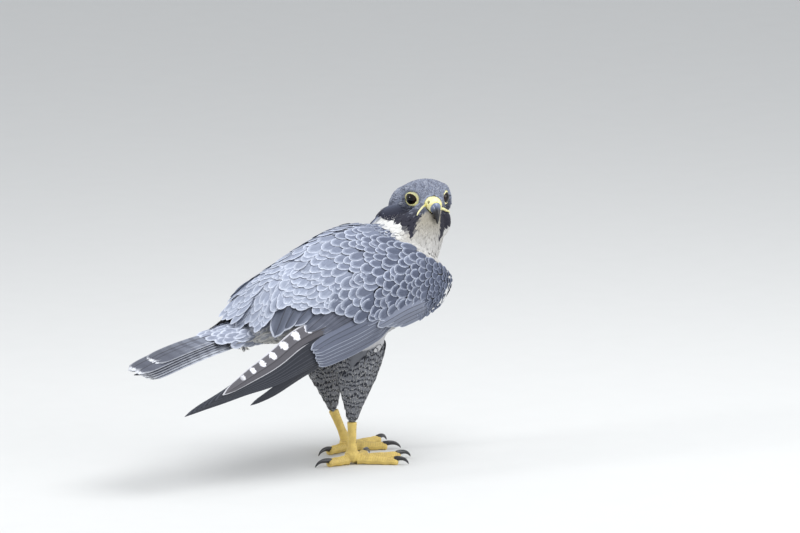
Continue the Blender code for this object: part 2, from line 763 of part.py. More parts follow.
def tail_frame(t):
    """A point on the tail's middle line, with the ways to its left and up."""
    roll = math.radians(TAIL_ROLL[0] * (1 - t) + TAIL_ROLL[1] * t)
    back = unit(TAIL_TIP - TAIL_ROOT)
    level = unit(np.cross(back, (0, 0, 1)))
    level = level if level[1] > 0 else -level
    left = unit(level * math.cos(roll) + np.array([0, 0, 1.0]) * math.sin(roll))
    up = unit(np.cross(left, back))
    up = up if up[2] > 0 else -up
    centre = TAIL_ROOT * (1 - t) + TAIL_TIP * t + np.array([0, 0, TAIL_ARCH * 4 * t * (1 - t)])
    return centre, left, up


def rectrix(pair, hand, layer):
    """One tail feather: the middle pair lies on top and each next pair one step lower."""
    share = pair / (RECTRIX_PAIRS - 1)
    near = RECTRIX_ASIDE[0][0] * (1 - share) + RECTRIX_ASIDE[1][0] * share
    far = RECTRIX_ASIDE[0][1] * (1 - share) + RECTRIX_ASIDE[1][1] * share
    end = 1.0 - RECTRIX_SHORT[pair]
    stations = []
    for t, wide in ((0.0, 0.5), (0.3, 0.85), (0.72, 1.0), (0.93, 0.92), (1.0, 0.35)):
        centre, left, up = tail_frame(0.06 + (end - 0.06) * t)
        height = 3.4 - layer * TAIL_STEP * (0.35 + 0.65 * min(1.0, t / 0.3))
        aside = hand * (near * (1 - t) + far * t)
        half = RECTRIX_HALF[0] * (1 - min(1, t / 0.7)) + RECTRIX_HALF[1] * min(1, t / 0.7)
        stations.append((centre + left * aside + up * height, left, up, half * wide))
    return vane("rectrix", stations)


def tail_covert(i, under):
    """A covert over the tail's root, or under it."""
    count = TAIL_COVERTS["count"]
    f = i / (count - 1)
    middle = 1 - abs(2 * f - 1)
    reach = TAIL_COVERTS["reach"][0] * (1 - middle) + TAIL_COVERTS["reach"][1] * middle
    side_on = (2 * f - 1) * TAIL_COVERTS["spread"]
    rise = -1 if under else 1
    stations = []
    for t, wide in ((0.0, 0.5), (0.35, 1.0), (0.7, 1.0), (0.92, 0.7), (1.0, 0.25)):
        centre, left, up = tail_frame(0.02 + reach * t)
        level = 5.2 if under else 4.6
        height = rise * (level * min(1.0, 0.35 + t / 0.4) + (1.0 if i % 2 else 0.0) * min(1.0, t / 0.4))
        centre = centre + left * side_on + up * (height - 2.6 * under * min(1.0, t / 0.4))
        stations.append((centre, left, up, TAIL_COVERTS["half"] * wide))
    return vane("covert", stations)


def make_tail():
    sections = []
    for t, half, up_reach, down_reach in TAIL_CORE:
        centre, left, up = tail_frame(t)
        sections.append((centre, left, up, half, up_reach, down_reach))
    tail = loft("tail", sections, 16, "flight")
    vanes = []
    for pair in range(RECTRIX_PAIRS):
        for hand, later in ((1, 0), (-1, 1)):
            vanes.append(rectrix(pair, hand, 2 * pair + later))
    for under in (False, True):
        vanes += [tail_covert(i, under) for i in range(TAIL_COVERTS["count"])]
    tail = join(tail, vanes, solver="MANIFOLD")
    tail = join(tail, [trunk("room", GAP)], "DIFFERENCE", "MANIFOLD")
    return keep_largest(tail)


# Legs: the feathered thigh, then the bare shank
THIGH_TOP = {"right": np.array([2.0, -32.0, 126.0]), "left": np.array([6.0, 30.0, 126.0])}
THIGH_ROWS = [
    (0.0, 29, 22), (0.18, 29, 22), (0.42, 25, 17.5), (0.64, 18, 12), (0.84, 10, 8.2), (1.0, 5.2, 5.2),
]


def thigh_sections(side, grow=0.0):
    top, end = THIGH_TOP[side], ANKLE_AT[side]
    way = unit(end - top)
    wide = unit(np.cross((0, 1, 0), way))
    high = np.cross(way, wide)
    sections = []
    for at in np.linspace(0, len(THIGH_ROWS) - 1, 9):
        t, deep, across = smooth(range(len(THIGH_ROWS)), THIGH_ROWS, at)
        centre = top * (1 - t) + end * t
        sections.append((centre, wide, high, deep + grow, across + grow, across + grow))
    return sections


SHANK_ROWS = [(0.0, 4.9, 4.6), (0.25, 4.4, 4.0), (0.6, 4.1, 3.8), (0.85, 5.0, 5.2), (1.0, 6.4, 7.0)]


def shank(name, side):
    top, end = ANKLE_AT[side], FOOT_AT[side]
    way = unit(end - top)
    wide = unit(np.cross((0, 1, 0), way))
    high = np.cross(way, wide)
    sections = []
    for t, deep, across in SHANK_ROWS:
        sections.append((top * (1 - t) + end * t, wide, high, deep, across, across))
    made = loft(name, sections, SHANK_SIDES, "skin")
    for room in (loft("room", thigh_sections(side, GAP), THIGH_SIDES, "thigh"), foot_ball(side, GAP)):
        made = join(made, [room], "DIFFERENCE")
    return keep_largest(made)


def foot_ball(side, grow=0.0):
    """The joint that the four toes spread from."""
    reach = FOOT_BALL + grow
    return ball("ball", FOOT_AT[side], (reach, reach, reach * 0.9), "skin", rows=7, sides=SHANK_SIDES)


# Toes: turn from straight ahead, length without claw, radius at the root and at the end
TOE_START = 5.0
TOE_SWELL = 0.55
TOE_SINK = 0.45
TOE_BLUNT = (1.8, 0.62)
TOES = {
    "middle": (0.0, 45.0, 5.0, 3.9),
    "inner": (42.0, 32.0, 4.9, 3.9),
    "outer": (-36.0, 37.0, 4.6, 3.6),
    "hind": (184.0, 21.0, 4.9, 4.2),
}
CLAW_LENGTH = {"middle": 15.0, "inner": 16.5, "outer": 13.0, "hind": 17.5}
# Each row is the place along the claw and its radius there
CLAW_ROWS = [(0.0, 2.5), (0.2, 2.35), (0.45, 1.9), (0.7, 1.3), (0.88, 0.8), (1.0, 0.3)]
CLAW_ARC = 72.0
CLAW_SLOPE = (20.0, 92.0)
CLAW_ROOT = 1.5
CLAW_HEIGHT = (5.6, 1.4, 4.6)
TOE_STATIONS = 8
CLAW_SIDES = 7
FLOOR_BLOCK = ((-400, -300, -40), (400, 300, 0))


def toe_way(side, toe):
    turn = TOES[toe][0] - FOOT_TURN
    angle = math.radians(turn) * -SIDE[side] if side == "left" else math.radians(turn)
    return np.array([math.cos(angle), math.sin(angle), 0.0])


def toe_sections(side, toe):
    """Bulging pads along the floor, arched between them, from the foot to the claw."""
    _, length, root, end = TOES[toe]
    way = toe_way(side, toe)
    wide = np.cross((0, 0, 1), way)
    start = FOOT_AT[side] * (1, 1, 0) + way * TOE_START
    pads = 3 if length > 30 else 2
    sections = []
    for t in np.linspace(0, 1, TOE_STATIONS):
        radius = root * (1 - t) + end * t
        swell = TOE_SWELL * math.cos(2 * math.pi * pads * t)
        lift = radius - TOE_SINK - swell * 0.5
        centre = start + way * (length * t) + np.array([0, 0, lift])
        sections.append((centre, wide, np.array([0, 0, 1.0]), radius + swell * 0.5, radius, radius + swell * 0.5))
    return sections


def toe_shape(side, toe):
    sections = toe_sections(side, toe)
    centre, wide, high, half_width, up, down = sections[-1]
    reach, blunt = TOE_BLUNT
    end = (centre + toe_way(side, toe) * reach, wide, high, half_width * blunt, up * blunt, down * blunt)
    return loft("toe", sections + [end], TOE_SIDES, "skin")


def make_foot(side):
    """The joint and the four toes, with small flats where the pads meet the floor."""
    foot = foot_ball(side)
    foot.name = "foot_" + side
    foot = join(foot, [toe_shape(side, toe) for toe in TOES], solver="MANIFOLD")
    for toe in TOES:
        foot = join(foot, [claw("room", side, toe, GAP)], "DIFFERENCE", "MANIFOLD")
    floor = box("floor", *FLOOR_BLOCK)
    return keep_largest(join(foot, [floor], "DIFFERENCE", "MANIFOLD"))


def claw(name, side, toe, grow=0.0):
    """A horn that curves down from the toe's end to a point just over the floor."""
    length = TOES[toe][1]
    way = toe_way(side, toe)
    wide = np.cross((0, 0, 1), way)
    start = FOOT_AT[side] * (1, 1, 0) + way * (TOE_START + length - CLAW_ROOT)
    high_at, arch, fall = CLAW_HEIGHT
    sections = []
    for t, radius in CLAW_ROWS:
        angle = math.radians(CLAW_SLOPE[0] - CLAW_SLOPE[1] * t)
        along = math.sin(math.radians(CLAW_ARC * t)) / math.sin(math.radians(CLAW_ARC)) * CLAW_LENGTH[toe]
        height = high_at + arch * math.sin(math.pi * t) - fall * t * t
        centre = start + way * along + np.array([0, 0, height])
        high = np.array([0, 0, 1.0]) * math.cos(angle) - way * math.sin(angle)
        sections.append((centre, wide, unit(high), (radius + grow) * 0.85, radius + grow, radius + grow))
    return loft(name, sections, CLAW_SIDES, "claw")


def make_leg(side):
    thigh = loft("thigh_" + side, thigh_sections(side), THIGH_SIDES, "thigh")
    thigh = join(thigh, [trunk("room", GAP)], "DIFFERENCE")
    keep_largest(thigh)
    shank("shank_" + side, side)
    make_foot(side)
    for toe in TOES:
        claw(f"claw_{toe}_{side}", side, toe)


def clear_scene():
    for old in list(bpy.data.objects):
        bpy.data.objects.remove(old)


def finish_surfaces():
    for made in bpy.context.scene.objects:
        made.data.shade_smooth()
        made.data.set_sharp_from_angle(angle=math.radians(42))


def main():
    clear_scene()
    neck_and_body()
    make_head()
    make_bill()
    make_eyes()
    for side in ("right", "left"):
        make_wing(side)
        make_leg(side)
    make_tail()
    finish_surfaces()


main()
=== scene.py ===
# %% [markdown]
# # A peregrine falcon, life-size
# The solids of the bird are already made and packed: body, head, wings, tail, legs and bill.
# This script opens them as a fixed frame and dresses them. A bird's looks are mostly feathers, and a feather
# is a thin, slightly domed blade, so every feather here is a small mesh of its own. Thousands of them lie
# over one skin like shingles, and each carries the colour of the place that it grows from.

import math

import bmesh
import bpy
import numpy as np
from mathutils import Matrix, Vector
from mathutils.bvhtree import BVHTree


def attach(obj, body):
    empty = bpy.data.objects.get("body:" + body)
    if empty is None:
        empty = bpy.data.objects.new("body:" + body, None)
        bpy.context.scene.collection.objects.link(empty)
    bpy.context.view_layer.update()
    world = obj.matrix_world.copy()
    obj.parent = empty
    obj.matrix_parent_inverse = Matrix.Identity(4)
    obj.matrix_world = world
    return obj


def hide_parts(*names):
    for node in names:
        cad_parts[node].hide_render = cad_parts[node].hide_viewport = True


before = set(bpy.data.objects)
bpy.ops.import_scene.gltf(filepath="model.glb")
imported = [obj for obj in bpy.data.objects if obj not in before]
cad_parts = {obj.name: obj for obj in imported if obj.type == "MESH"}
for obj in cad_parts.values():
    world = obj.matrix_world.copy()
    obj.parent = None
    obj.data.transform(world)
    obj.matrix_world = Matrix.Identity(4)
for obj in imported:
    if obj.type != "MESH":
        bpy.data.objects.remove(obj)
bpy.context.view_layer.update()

# %% [markdown]
# ## Units and small helpers
# Feathers are measured in millimetres, so the shapes below are worked out in millimetres around the bird's
# middle, and turned into metres only when a mesh is made. `SHIFT` is where that middle lies in the frame.

# %% Units and helpers
MM = 0.001
SHIFT = np.array([57.2, 2.75, 0.0])
SIDE = {"right": -1.0, "left": 1.0}
RNG = np.random.default_rng(11)


def unit(v):
    """A vector, or each row of many, at length one."""
    v = np.asarray(v, float)
    return v / np.maximum(np.linalg.norm(v, axis=-1, keepdims=True), 1e-9)


def smooth(keys, rows, at):
    """Rows of numbers read at many places between keys, on a curve through all of them."""
    keys, rows = np.asarray(keys, float), np.asarray(rows, float)
    slopes = np.gradient(rows, keys, axis=0)
    place = np.clip(np.asarray(at, float), keys[0], keys[-1])
    i = np.clip(np.searchsorted(keys, place, side="right") - 1, 0, len(keys) - 2)
    step = (keys[i + 1] - keys[i])[..., None]
    t = (place - keys[i])[..., None] / step
    return (rows[i] * (2 * t**3 - 3 * t**2 + 1) + slopes[i] * step * (t**3 - 2 * t**2 + t)
            + rows[i + 1] * (3 * t**2 - 2 * t**3) + slopes[i + 1] * step * (t**3 - t**2))


def read_rows(rows, at):
    """Rows that begin with their key, read at many places: what follows the key."""
    rows = np.asarray(rows, float)
    return smooth(rows[:, 0], rows, at)[..., 1:]


def between_rows(rows, at):
    """Rows read at places that count them, from 0 at the first."""
    return smooth(range(len(rows)), rows, at)


def ease(low, high, value):
    """0 below low, 1 above high, and a soft step between; low may be the larger."""
    t = np.clip((np.asarray(value, float) - low) / (high - low), 0, 1)
    return t * t * (3 - 2 * t)


def mix(a, b, share):
    share = np.asarray(share, float)[..., None]
    return np.asarray(a, float) * (1 - share) + np.asarray(b, float) * share


def paint(red, green, blue):
    """A colour as seen on a screen, 0 to 255, in the linear light that the shader wants."""
    return np.array([(c / 255 / 12.92) if c <= 10 else ((c / 255 + 0.055) / 1.055) ** 2.4
                     for c in (red, green, blue)])


def give(mesh, name, kind, values):
    """A named attribute on every point of a mesh."""
    layer = mesh.attributes.new(name, kind, "POINT")
    values = np.asarray(values, np.float32)
    if kind == "FLOAT_COLOR":
        values = np.concatenate([values, np.ones((len(values), 1), np.float32)], axis=1)
    key = {"FLOAT": "value", "FLOAT_VECTOR": "vector", "FLOAT_COLOR": "color"}[kind]
    layer.data.foreach_set(key, np.ascontiguousarray(values).ravel())


def give_uv(mesh, name, places):
    """A UV map from one place for each point."""
    layer = mesh.uv_layers.new(name=name)
    corner = np.empty(len(mesh.loops), np.int32)
    mesh.loops.foreach_get("vertex_index", corner)
    layer.data.foreach_set("uv", np.ascontiguousarray(np.asarray(places)[corner], np.float32).ravel())


def stand(name, data):
    """An object of the scene for a mesh, a lamp or a lens."""
    made = bpy.data.objects.new(name, data)
    bpy.context.scene.collection.objects.link(made)
    return made


def quads(rows, cols):
    """The faces of a grid of points."""
    starts = (i * cols + j for i in range(rows - 1) for j in range(cols - 1))
    return [(a, a + 1, a + 1 + cols, a + cols) for a in starts]


def make_mesh(name, points, faces):
    """A mesh object from points in millimetres, in the frame's metres."""
    mesh = bpy.data.meshes.new(name)
    mesh.from_pydata(((np.asarray(points, float) + SHIFT) * MM).tolist(), [], faces)
    return stand(name, mesh)


def outwards(made):
    """Turns all the faces of a closed shape outwards."""
    shape = bmesh.new()
    shape.from_mesh(made.data)
    bmesh.ops.recalc_face_normals(shape, faces=shape.faces)
    shape.to_mesh(made.data)
    shape.free()
    return made


def freeze(made):
    """Keeps the shape that the modifiers give, as a plain mesh, and takes the modifiers off."""
    graph = bpy.context.evaluated_depsgraph_get()
    mesh = bpy.data.meshes.new_from_object(made.evaluated_get(graph))
    made.modifiers.clear()
    old, made.data = made.data, mesh
    bpy.data.meshes.remove(old)
    return made


def soften(made, angle):
    """Smooth shading, with a crease where faces meet at more than the angle."""
    made.data.shade_smooth()
    made.data.set_sharp_from_angle(angle=math.radians(angle))


# %% [markdown]
# ## The bird's own measures
# The wing is read as a skin with two directions: x runs from the wrist back to the tip, and v runs from the
# leading edge, 0, round the side to the edge on the back, 1. Each row gives y and z at four places of v.
# The head has its own frame as well, because it is turned back over the right shoulder.

# %% The wing's skin
WING_ROWS = {
    "right": [
        (102, 50, 160, 53, 165, 51, 172, 46, 176),
        (88, 55, 147, 59, 164, 55, 183, 43, 197),
        (64, 57, 136, 63, 160, 58, 191, 32, 216),
        (30, 58, 125, 65, 156, 56, 190, 16, 219),
        (0, 59, 116, 65, 148, 54, 187, 12, 216),
        (-30, 60, 108, 64, 138, 52, 178, 12, 207),
        (-60, 60, 102, 61, 128, 50, 161, 16, 193),
        (-90, 60, 96, 60, 116, 50, 144, 24, 176),
        (-120, 60, 91, 58, 104, 52, 120, 40, 143),
        (-160, 59, 86, 58, 94, 56, 102, 52, 111),
        (-200, 59, 81, 58, 84.5, 58, 88, 57, 92),
        (-232, 59, 76, 59, 76.5, 59, 77, 59, 77.6),
    ],
    "left": [
        (102, 50, 162, 53, 167, 51, 173, 46, 177),
        (88, 55, 151, 59, 166, 55, 184, 43, 198),
        (64, 57, 142, 63, 164, 58, 194, 32, 218),
        (30, 57, 134, 64, 160, 56, 192, 16, 220),
        (0, 56, 127, 63, 154, 54, 189, 12, 217),
        (-30, 53, 122, 59, 146, 51, 180, 12, 208),
        (-60, 49, 118, 53, 138, 46, 165, 16, 194),
        (-90, 44, 115, 47, 130, 42, 152, 24, 177),
        (-120, 41, 113, 42, 123, 39, 135, 31, 150),
        (-160, 38, 110, 38.5, 115, 37.5, 120, 36, 125),
        (-200, 35, 107, 35, 109, 34.6, 111.5, 34, 114),
        (-226, 33, 105, 33, 105.5, 33, 106, 33, 106.5),
    ],
}


def wing_point(side, x, v):
    """Points of the wing's skin. Past v = 1 it runs on, level, to the middle of the back."""
    x, v = np.broadcast_arrays(np.asarray(x, float), np.asarray(v, float))
    across = read_rows(WING_ROWS[side][::-1], x).reshape(x.shape + (4, 2))
    slopes = np.gradient(across, 1 / 3, axis=-2)
    i = np.clip((v * 3).astype(int), 0, 2)
    t = np.clip(v * 3 - i, 0, 1)[..., None]

    def row(of, at):
        return np.take_along_axis(of, at[..., None, None], axis=-2)[..., 0, :]

    yz = (row(across, i) * (2 * t**3 - 3 * t**2 + 1) + row(slopes, i) / 3 * (t**3 - 2 * t**2 + t)
          + row(across, i + 1) * (3 * t**2 - 2 * t**3) + row(slopes, i + 1) / 3 * (t**3 - t**2))
    past = np.clip((v - 1) / 0.25, 0, 1)
    y = yz[..., 0] * (1 - past)
    z = yz[..., 1] + 2.2 * np.sin(past * math.pi / 2)
    return np.stack([x, SIDE[side] * y, z], axis=-1)


PROBE_X, PROBE_V = 4, 0.04


def wing_out(side, x, v):
    """The way out of the wing's skin."""
    inner = np.clip(v, 0, 1.2)
    along = wing_point(side, x + PROBE_X, inner) - wing_point(side, x - PROBE_X, inner)
    across = wing_point(side, x, inner + PROBE_V) - wing_point(side, x, inner - PROBE_V)
    out = unit(np.cross(along, across))
    away = np.array([0, SIDE[side], 0.6])
    return out * np.where(out @ away > 0, 1.0, -1.0)[..., None]


# %% The trunk's middle line
# Each row is x, y, z, pitch of the spine, half width, height above and depth below
TRUNK = [
    (-122, 0, 131, 8, 17, 8, 7),
    (-105, 0, 135, 12, 22, 13, 13),
    (-85, 0, 140, 16, 28, 22, 21),
    (-60, 0, 147, 20, 37, 33, 32),
    (-30, 0, 154, 24, 44, 43, 42),
    (5, 0, 162, 26, 48, 48, 48),
    (40, 0, 173, 32, 47, 51, 47),
    (66, -1, 187, 46, 42, 49, 41),
    (82, -4, 204, 66, 38, 42, 37),
    (90, -8, 220, 78, 31, 30, 30),
    (99, -11, 237, 84, 20, 19, 19),
]
SPINE_STEPS = 121
SPINE = between_rows(TRUNK, np.linspace(0, len(TRUNK) - 1, SPINE_STEPS))
SPINE_WAY = unit(np.gradient(SPINE[:, :3], axis=0))


def on_trunk(points):
    """For each point: station along the spine 0 to 1, how far up and aside of it (1 is the surface)."""
    away = points[:, None, :] - SPINE[None, :, :3]
    k = np.argmin((away**2).sum(-1) / SPINE[None, :, 4] ** 2, axis=1)
    lean = np.radians(SPINE[k, 3])
    high = np.stack([-np.sin(lean), 0 * lean, np.cos(lean)], axis=-1)
    offset = points - SPINE[k, :3]
    rise = (offset * high).sum(-1)
    up = rise / np.where(rise > 0, SPINE[k, 5], SPINE[k, 6])
    return k / (SPINE_STEPS - 1), up, offset[:, 1] / SPINE[k, 4], -SPINE_WAY[k]


# %% The head's own frame
HEAD_AT = np.array([105.0, -15.0, 237.5])
HEAD_YAW = math.radians(-116.0)
HEAD_TURN = np.array([
    [math.cos(HEAD_YAW), math.sin(HEAD_YAW), 0.0],
    [-math.sin(HEAD_YAW), math.cos(HEAD_YAW), 0.0],
    [0.0, 0.0, 1.0],
])
EYE_AT = np.array([-4.4, 13.2, 2.1])
EYE_RADIUS = 7.6
EYE_OUTWARD = math.radians(57.0)


def from_head(points):
    return HEAD_AT + np.asarray(points, float) @ HEAD_TURN


def to_head(points):
    return (np.asarray(points, float) - HEAD_AT) @ HEAD_TURN.T


def head_way(v):
    return np.asarray(v, float) @ HEAD_TURN


def eye_axis(hand):
    return head_way((math.cos(EYE_OUTWARD), hand * math.sin(EYE_OUTWARD), 0.0))


def eye_centre(hand):
    return from_head(EYE_AT * (1, hand, 1))


def eye_ring(ahead, rise):
    """Inner and outer edge of the bare ring in a direction round the eye, wider towards the bill."""
    inner = 1 / np.hypot(ahead / 6.6, rise / 5.2)
    wide = 1.3 + 2.6 * np.clip(ahead, 0, 1) ** 1.5 + 0.3 * np.abs(rise)
    return inner, inner + wide


def round_eye(points, hand):
    """Each point's height over the eye's middle, distance from its axis, and the ring's outer edge."""
    axis = eye_axis(hand)
    offset = points - eye_centre(hand)
    high = offset @ axis
    radial = offset - high[:, None] * axis
    reach = np.maximum(np.linalg.norm(radial, axis=1), 1e-6)
    fore = unit(head_way((1.0, 0, 0)) - (head_way((1.0, 0, 0)) @ axis) * axis)
    return high, reach, eye_ring(radial @ fore / reach, radial[:, 2] / reach)[1]


# %% The thighs
ANKLE_AT = {"right": np.array([-9.0, -33.0, 41.0]), "left": np.array([18.0, 24.0, 41.0])}
THIGH_TOP = {"right": np.array([2.0, -32.0, 126.0]), "left": np.array([6.0, 30.0, 126.0])}
THIGH_ROWS = [
    (0.0, 29, 22), (0.18, 29, 22), (0.42, 25, 17.5), (0.64, 18, 12), (0.84, 10, 8.2), (1.0, 5.2, 5.2),
]


def on_thigh(side, points):
    """For each point: place down the thigh 0 to 1, and distance out of it (1 is the surface)."""
    top, way = THIGH_TOP[side], ANKLE_AT[side] - THIGH_TOP[side]
    reach = np.linalg.norm(way)
    way = way / reach
    offset = points - top
    t = offset @ way / reach
    deep, across = read_rows(THIGH_ROWS, t).T
    wide = unit(np.cross((0, 1, 0), way))
    high = np.cross(way, wide)
    angle = np.arctan2(offset @ high, offset @ wide)
    return t, np.hypot(offset @ wide / deep, offset @ high / across), angle


# %% [markdown]
# ## One skin under the feathers
# On the living bird there is no seam between body, neck, head and thighs. Copies of those solids, with the
# two forearms, are put together and remeshed by voxels, which melts them into one closed form. The form is
# then pulled inwards by the depth of the coat, because the feathers that grow from it fill that depth again.

# %% The arms inside the wings
ARM_X = np.linspace(100, -54, 24)
ARM_V = np.linspace(0.0, 1.0, 15)
ARM_UNDER, ARM_STEP = 2.6, 5.0
ARM_THIN, ARM_THICK = 1.6, 9.0
# Where the arm sinks away under the long feathers, in x, at v = 0 and at v = 1
ARM_SINKS = (78, 34)


def arm_grids(side):
    """The outer and the inner face of the forearm, which thins towards its edges and its hind end."""
    x, v = np.meshgrid(ARM_X, ARM_V, indexing="ij")
    out = wing_out(side, x, v)
    start = ARM_SINKS[0] * (1 - v) + ARM_SINKS[1] * v
    under = ARM_UNDER + ARM_STEP * ease(0, 26, start - x)
    ends = np.minimum(1, np.minimum((103 - x) / 18, (x + 62) / 40))
    thick = ARM_THIN + ARM_THICK * ends * np.minimum(1, 0.35 + 3.2 * np.minimum(v, 1 - v))
    outer = wing_point(side, x, v) - out * under[..., None]
    return outer, outer - out * thick[..., None]


def closed_sheet(name, outer, inner):
    """A closed shell between two like grids of points."""
    rows, cols = outer.shape[:2]
    under = rows * cols
    faces = []
    for i in range(rows - 1):
        for j in range(cols - 1):
            a, b = i * cols + j, i * cols + j + 1
            faces.append((a, b, b + cols, a + cols))
            faces.append((under + a + cols, under + b + cols, under + b, under + a))
    rim = [i * cols for i in range(rows)] + [(rows - 1) * cols + j for j in range(1, cols)]
    rim += [i * cols + cols - 1 for i in range(rows - 2, -1, -1)] + list(range(cols - 2, 0, -1))
    faces += [(a, b, under + b, under + a) for a, b in zip(rim, rim[1:] + rim[:1])]
    return outwards(make_mesh(name, np.concatenate([outer.reshape(-1, 3), inner.reshape(-1, 3)]), faces))


# %% The skin
WELD = 1e-6
SKIN_VOXEL, SKIN_ROUNDS = 0.0017, 5
SKIN_NODES = ("torso", "neck", "head", "thigh_left", "thigh_right")
COAT_DEPTH = {"head": 1.0, "neck": 1.8, "body": 2.2, "thigh": 1.6, "arm": 0.3}


def read_points(made, key):
    """A vector of each point of a mesh: co is its place, normal its way out."""
    values = np.empty(len(made.data.vertices) * 3, np.float32)
    made.data.vertices.foreach_get(key, values)
    return values.reshape(-1, 3).astype(float)


def points_of(made):
    """A mesh's points in the bird's millimetres."""
    return read_points(made, "co") / MM - SHIFT


def move_points(made, points):
    made.data.vertices.foreach_set("co", ((points + SHIFT) * MM).astype(np.float32).ravel())


def melt(name, nodes, voxel, rounds, others=()):
    """Solids and other closed pieces, remeshed by voxels into one form and smoothed."""
    whole = bmesh.new()
    for key in nodes:
        whole.from_mesh(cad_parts[key].data)
    bmesh.ops.remove_doubles(whole, verts=whole.verts, dist=WELD)
    for other in others:
        whole.from_mesh(other.data)
        bpy.data.objects.remove(other)
    mesh = bpy.data.meshes.new(name)
    whole.to_mesh(mesh)
    whole.free()
    made = stand(name, mesh)
    voxels = made.modifiers.new("melt", "REMESH")
    voxels.mode, voxels.voxel_size = "VOXEL", voxel
    calm = made.modifiers.new("calm", "SMOOTH")
    calm.factor, calm.iterations = 0.5, rounds
    return freeze(made)


arms = [closed_sheet("arm", *arm_grids(side)) for side in SIDE]
skin = melt("skin", SKIN_NODES, SKIN_VOXEL, SKIN_ROUNDS, arms)
print("skin:", len(skin.data.polygons), "faces")

# %% [markdown]
# ## Which way the feathers lie, and what colour they are
# Feathers point away from the bill: back over the crown, down the throat, along the back to the tail, and
# down the thighs. The markings are rules about places, not a picture: a dark hood with a pointed moustache
# under each eye, a pale throat and cheek, a blue-grey back and a barred belly. Some rules paint light too:
# a painted sheen lightens the crown, painted shade darkens the throat, and the flanks behind the wings are
# painted lighter where the wings shade them. Skin and feathers ask the same rules, so both agree.

# %% Which way the feathers lie
BILL_BASE = np.array([13.0, 0.0, -3.0])
HEAD_NEAR, HEAD_FAR = 31.0, 47.0


def head_share(points):
    """1 on the head, 0 from the neck down."""
    return ease(HEAD_FAR, HEAD_NEAR, np.linalg.norm(to_head(points), axis=1))


def tangent(way, out):
    return unit(way - (way * out).sum(-1, keepdims=True) * out)


def thigh_side(points):
    """The side of the thigh that a point belongs to, as -1 or 1, or 0 off the thighs."""
    found = np.zeros(len(points))
    low = (on_trunk(points)[1] < -1.02) | (points[:, 2] < 112)
    for side, sign in SIDE.items():
        t, out, _ = on_thigh(side, points)
        found[(out < 1.18) & (t > 0.1) & (points[:, 1] * sign > 0) & low] = sign
    return found


def lie_at(points, out):
    """The way that feathers point, along the surface."""
    _, _, _, way = on_trunk(points)
    local = to_head(points)
    over_head = head_way(unit(local - BILL_BASE) + (0, 0, -0.12))
    way = mix(way, over_head, head_share(points))
    sides = thigh_side(points)
    for side, sign in SIDE.items():
        down = unit(ANKLE_AT[side] - THIGH_TOP[side] + (-22, 0, 0))
        way = np.where((sides == sign)[:, None], down, way)
    way = tangent(way, out)
    for hand in (1, -1):
        axis = eye_axis(hand)
        offset = points - eye_centre(hand)
        radial = offset - (offset @ axis)[:, None] * axis
        near = ease(17.0, 9.5, np.linalg.norm(radial, axis=1)) * (offset @ axis > 0)
        radial = unit(radial)
        inward = np.minimum(0, (way * radial).sum(-1)) * near
        way = way - radial * inward[:, None] * 1.15
    return tangent(way, out)


# %% The colours of the coat
COAT = {name: paint(*ink) for name, ink in {
    # crown: the hood's own dark slate lightened by a painted sheen of the light from above
    "crown": (150, 157, 176), "face": (80, 84, 99), "moustache": (44, 44, 55),
    # throat: its own pale cream darkened by painted shade under the head
    "throat": (160, 154, 141), "cheek": (216, 215, 212), "breast": (192, 190, 187),
    "belly": (196, 196, 198), "bar": (44, 46, 54), "thigh": (116, 118, 124),
    "fleck": (196, 201, 214), "slate": (106, 113, 134), "slate_heart": (82, 89, 108),
    "slate_rim": (160, 168, 188), "mantle": (140, 147, 166), "mantle_heart": (80, 86, 105),
    "mantle_rim": (196, 202, 217), "back": (175, 182, 198), "back_heart": (128, 135, 155),
    "back_rim": (206, 211, 225), "rump": (194, 200, 214), "rump_bar": (132, 138, 157),
}.items()}
# The neck's middle line, by height: the throat and the moustaches are placed by the angle round it
NECK_LINE = [(187, 66, -1), (204, 82, -4), (220, 90, -8), (237, 104, -10), (262, 107, -9)]
THROAT_AZIMUTH = -96.0
THROAT_HALF = 27.0
HOOD_EDGE = 226.0
MOUSTACHE_TIP = {1: 199.5, -1: 206.5}
NAPE_HALF = 78.0
HOOD_REACH = (66.0, 56.0)


def around_neck(points):
    """The angle from the throat's middle, in degrees, positive on the bird's left."""
    line = read_rows(NECK_LINE, points[:, 2])
    azimuth = np.degrees(np.arctan2(points[:, 1] - line[:, 1], points[:, 0] - line[:, 0]))
    return (azimuth - THROAT_AZIMUTH + 180) % 360 - 180


def hood_at(points, ragged):
    """How much of the dark hood covers each point, and how much of it is moustache."""
    angle, z = around_neck(points), points[:, 2]
    local = to_head(points)
    off = np.abs(angle) + ragged * 3.0
    level = z + ragged * 1.3
    tip = np.where(angle > 0, MOUSTACHE_TIP[1], MOUSTACHE_TIP[-1])
    rise = level - tip
    outer = THROAT_HALF - 4 + rise * 2.35 + 0.65 * np.clip(rise - 11, 0, 9) ** 2
    stripe = ease(THROAT_HALF - 2, THROAT_HALF + 2, off) * ease(outer + 3, outer - 3, off)
    stripe = stripe * ease(tip - 1, tip + 2, level)
    cap = ease(HOOD_EDGE - 1.2, HOOD_EDGE + 1.2, level)
    chin = ease(THROAT_HALF + 3, THROAT_HALF - 1, off) * (local[:, 0] > 4) * ease(-5.5, -8.5, local[:, 2])
    nape = ease(180 - NAPE_HALF - 3, 180 - NAPE_HALF + 5, off)
    dark = np.maximum(np.maximum(cap * (1 - chin), stripe), nape * ease(214, 219, z))
    dark = dark * ease(*HOOD_REACH, np.linalg.norm(local, axis=1))
    return dark, stripe * ease(238, 224, level)


MANTLE_LINE = (36.0, 218.5, 0.8)
CHEEK_END = (50.0, 45.0)


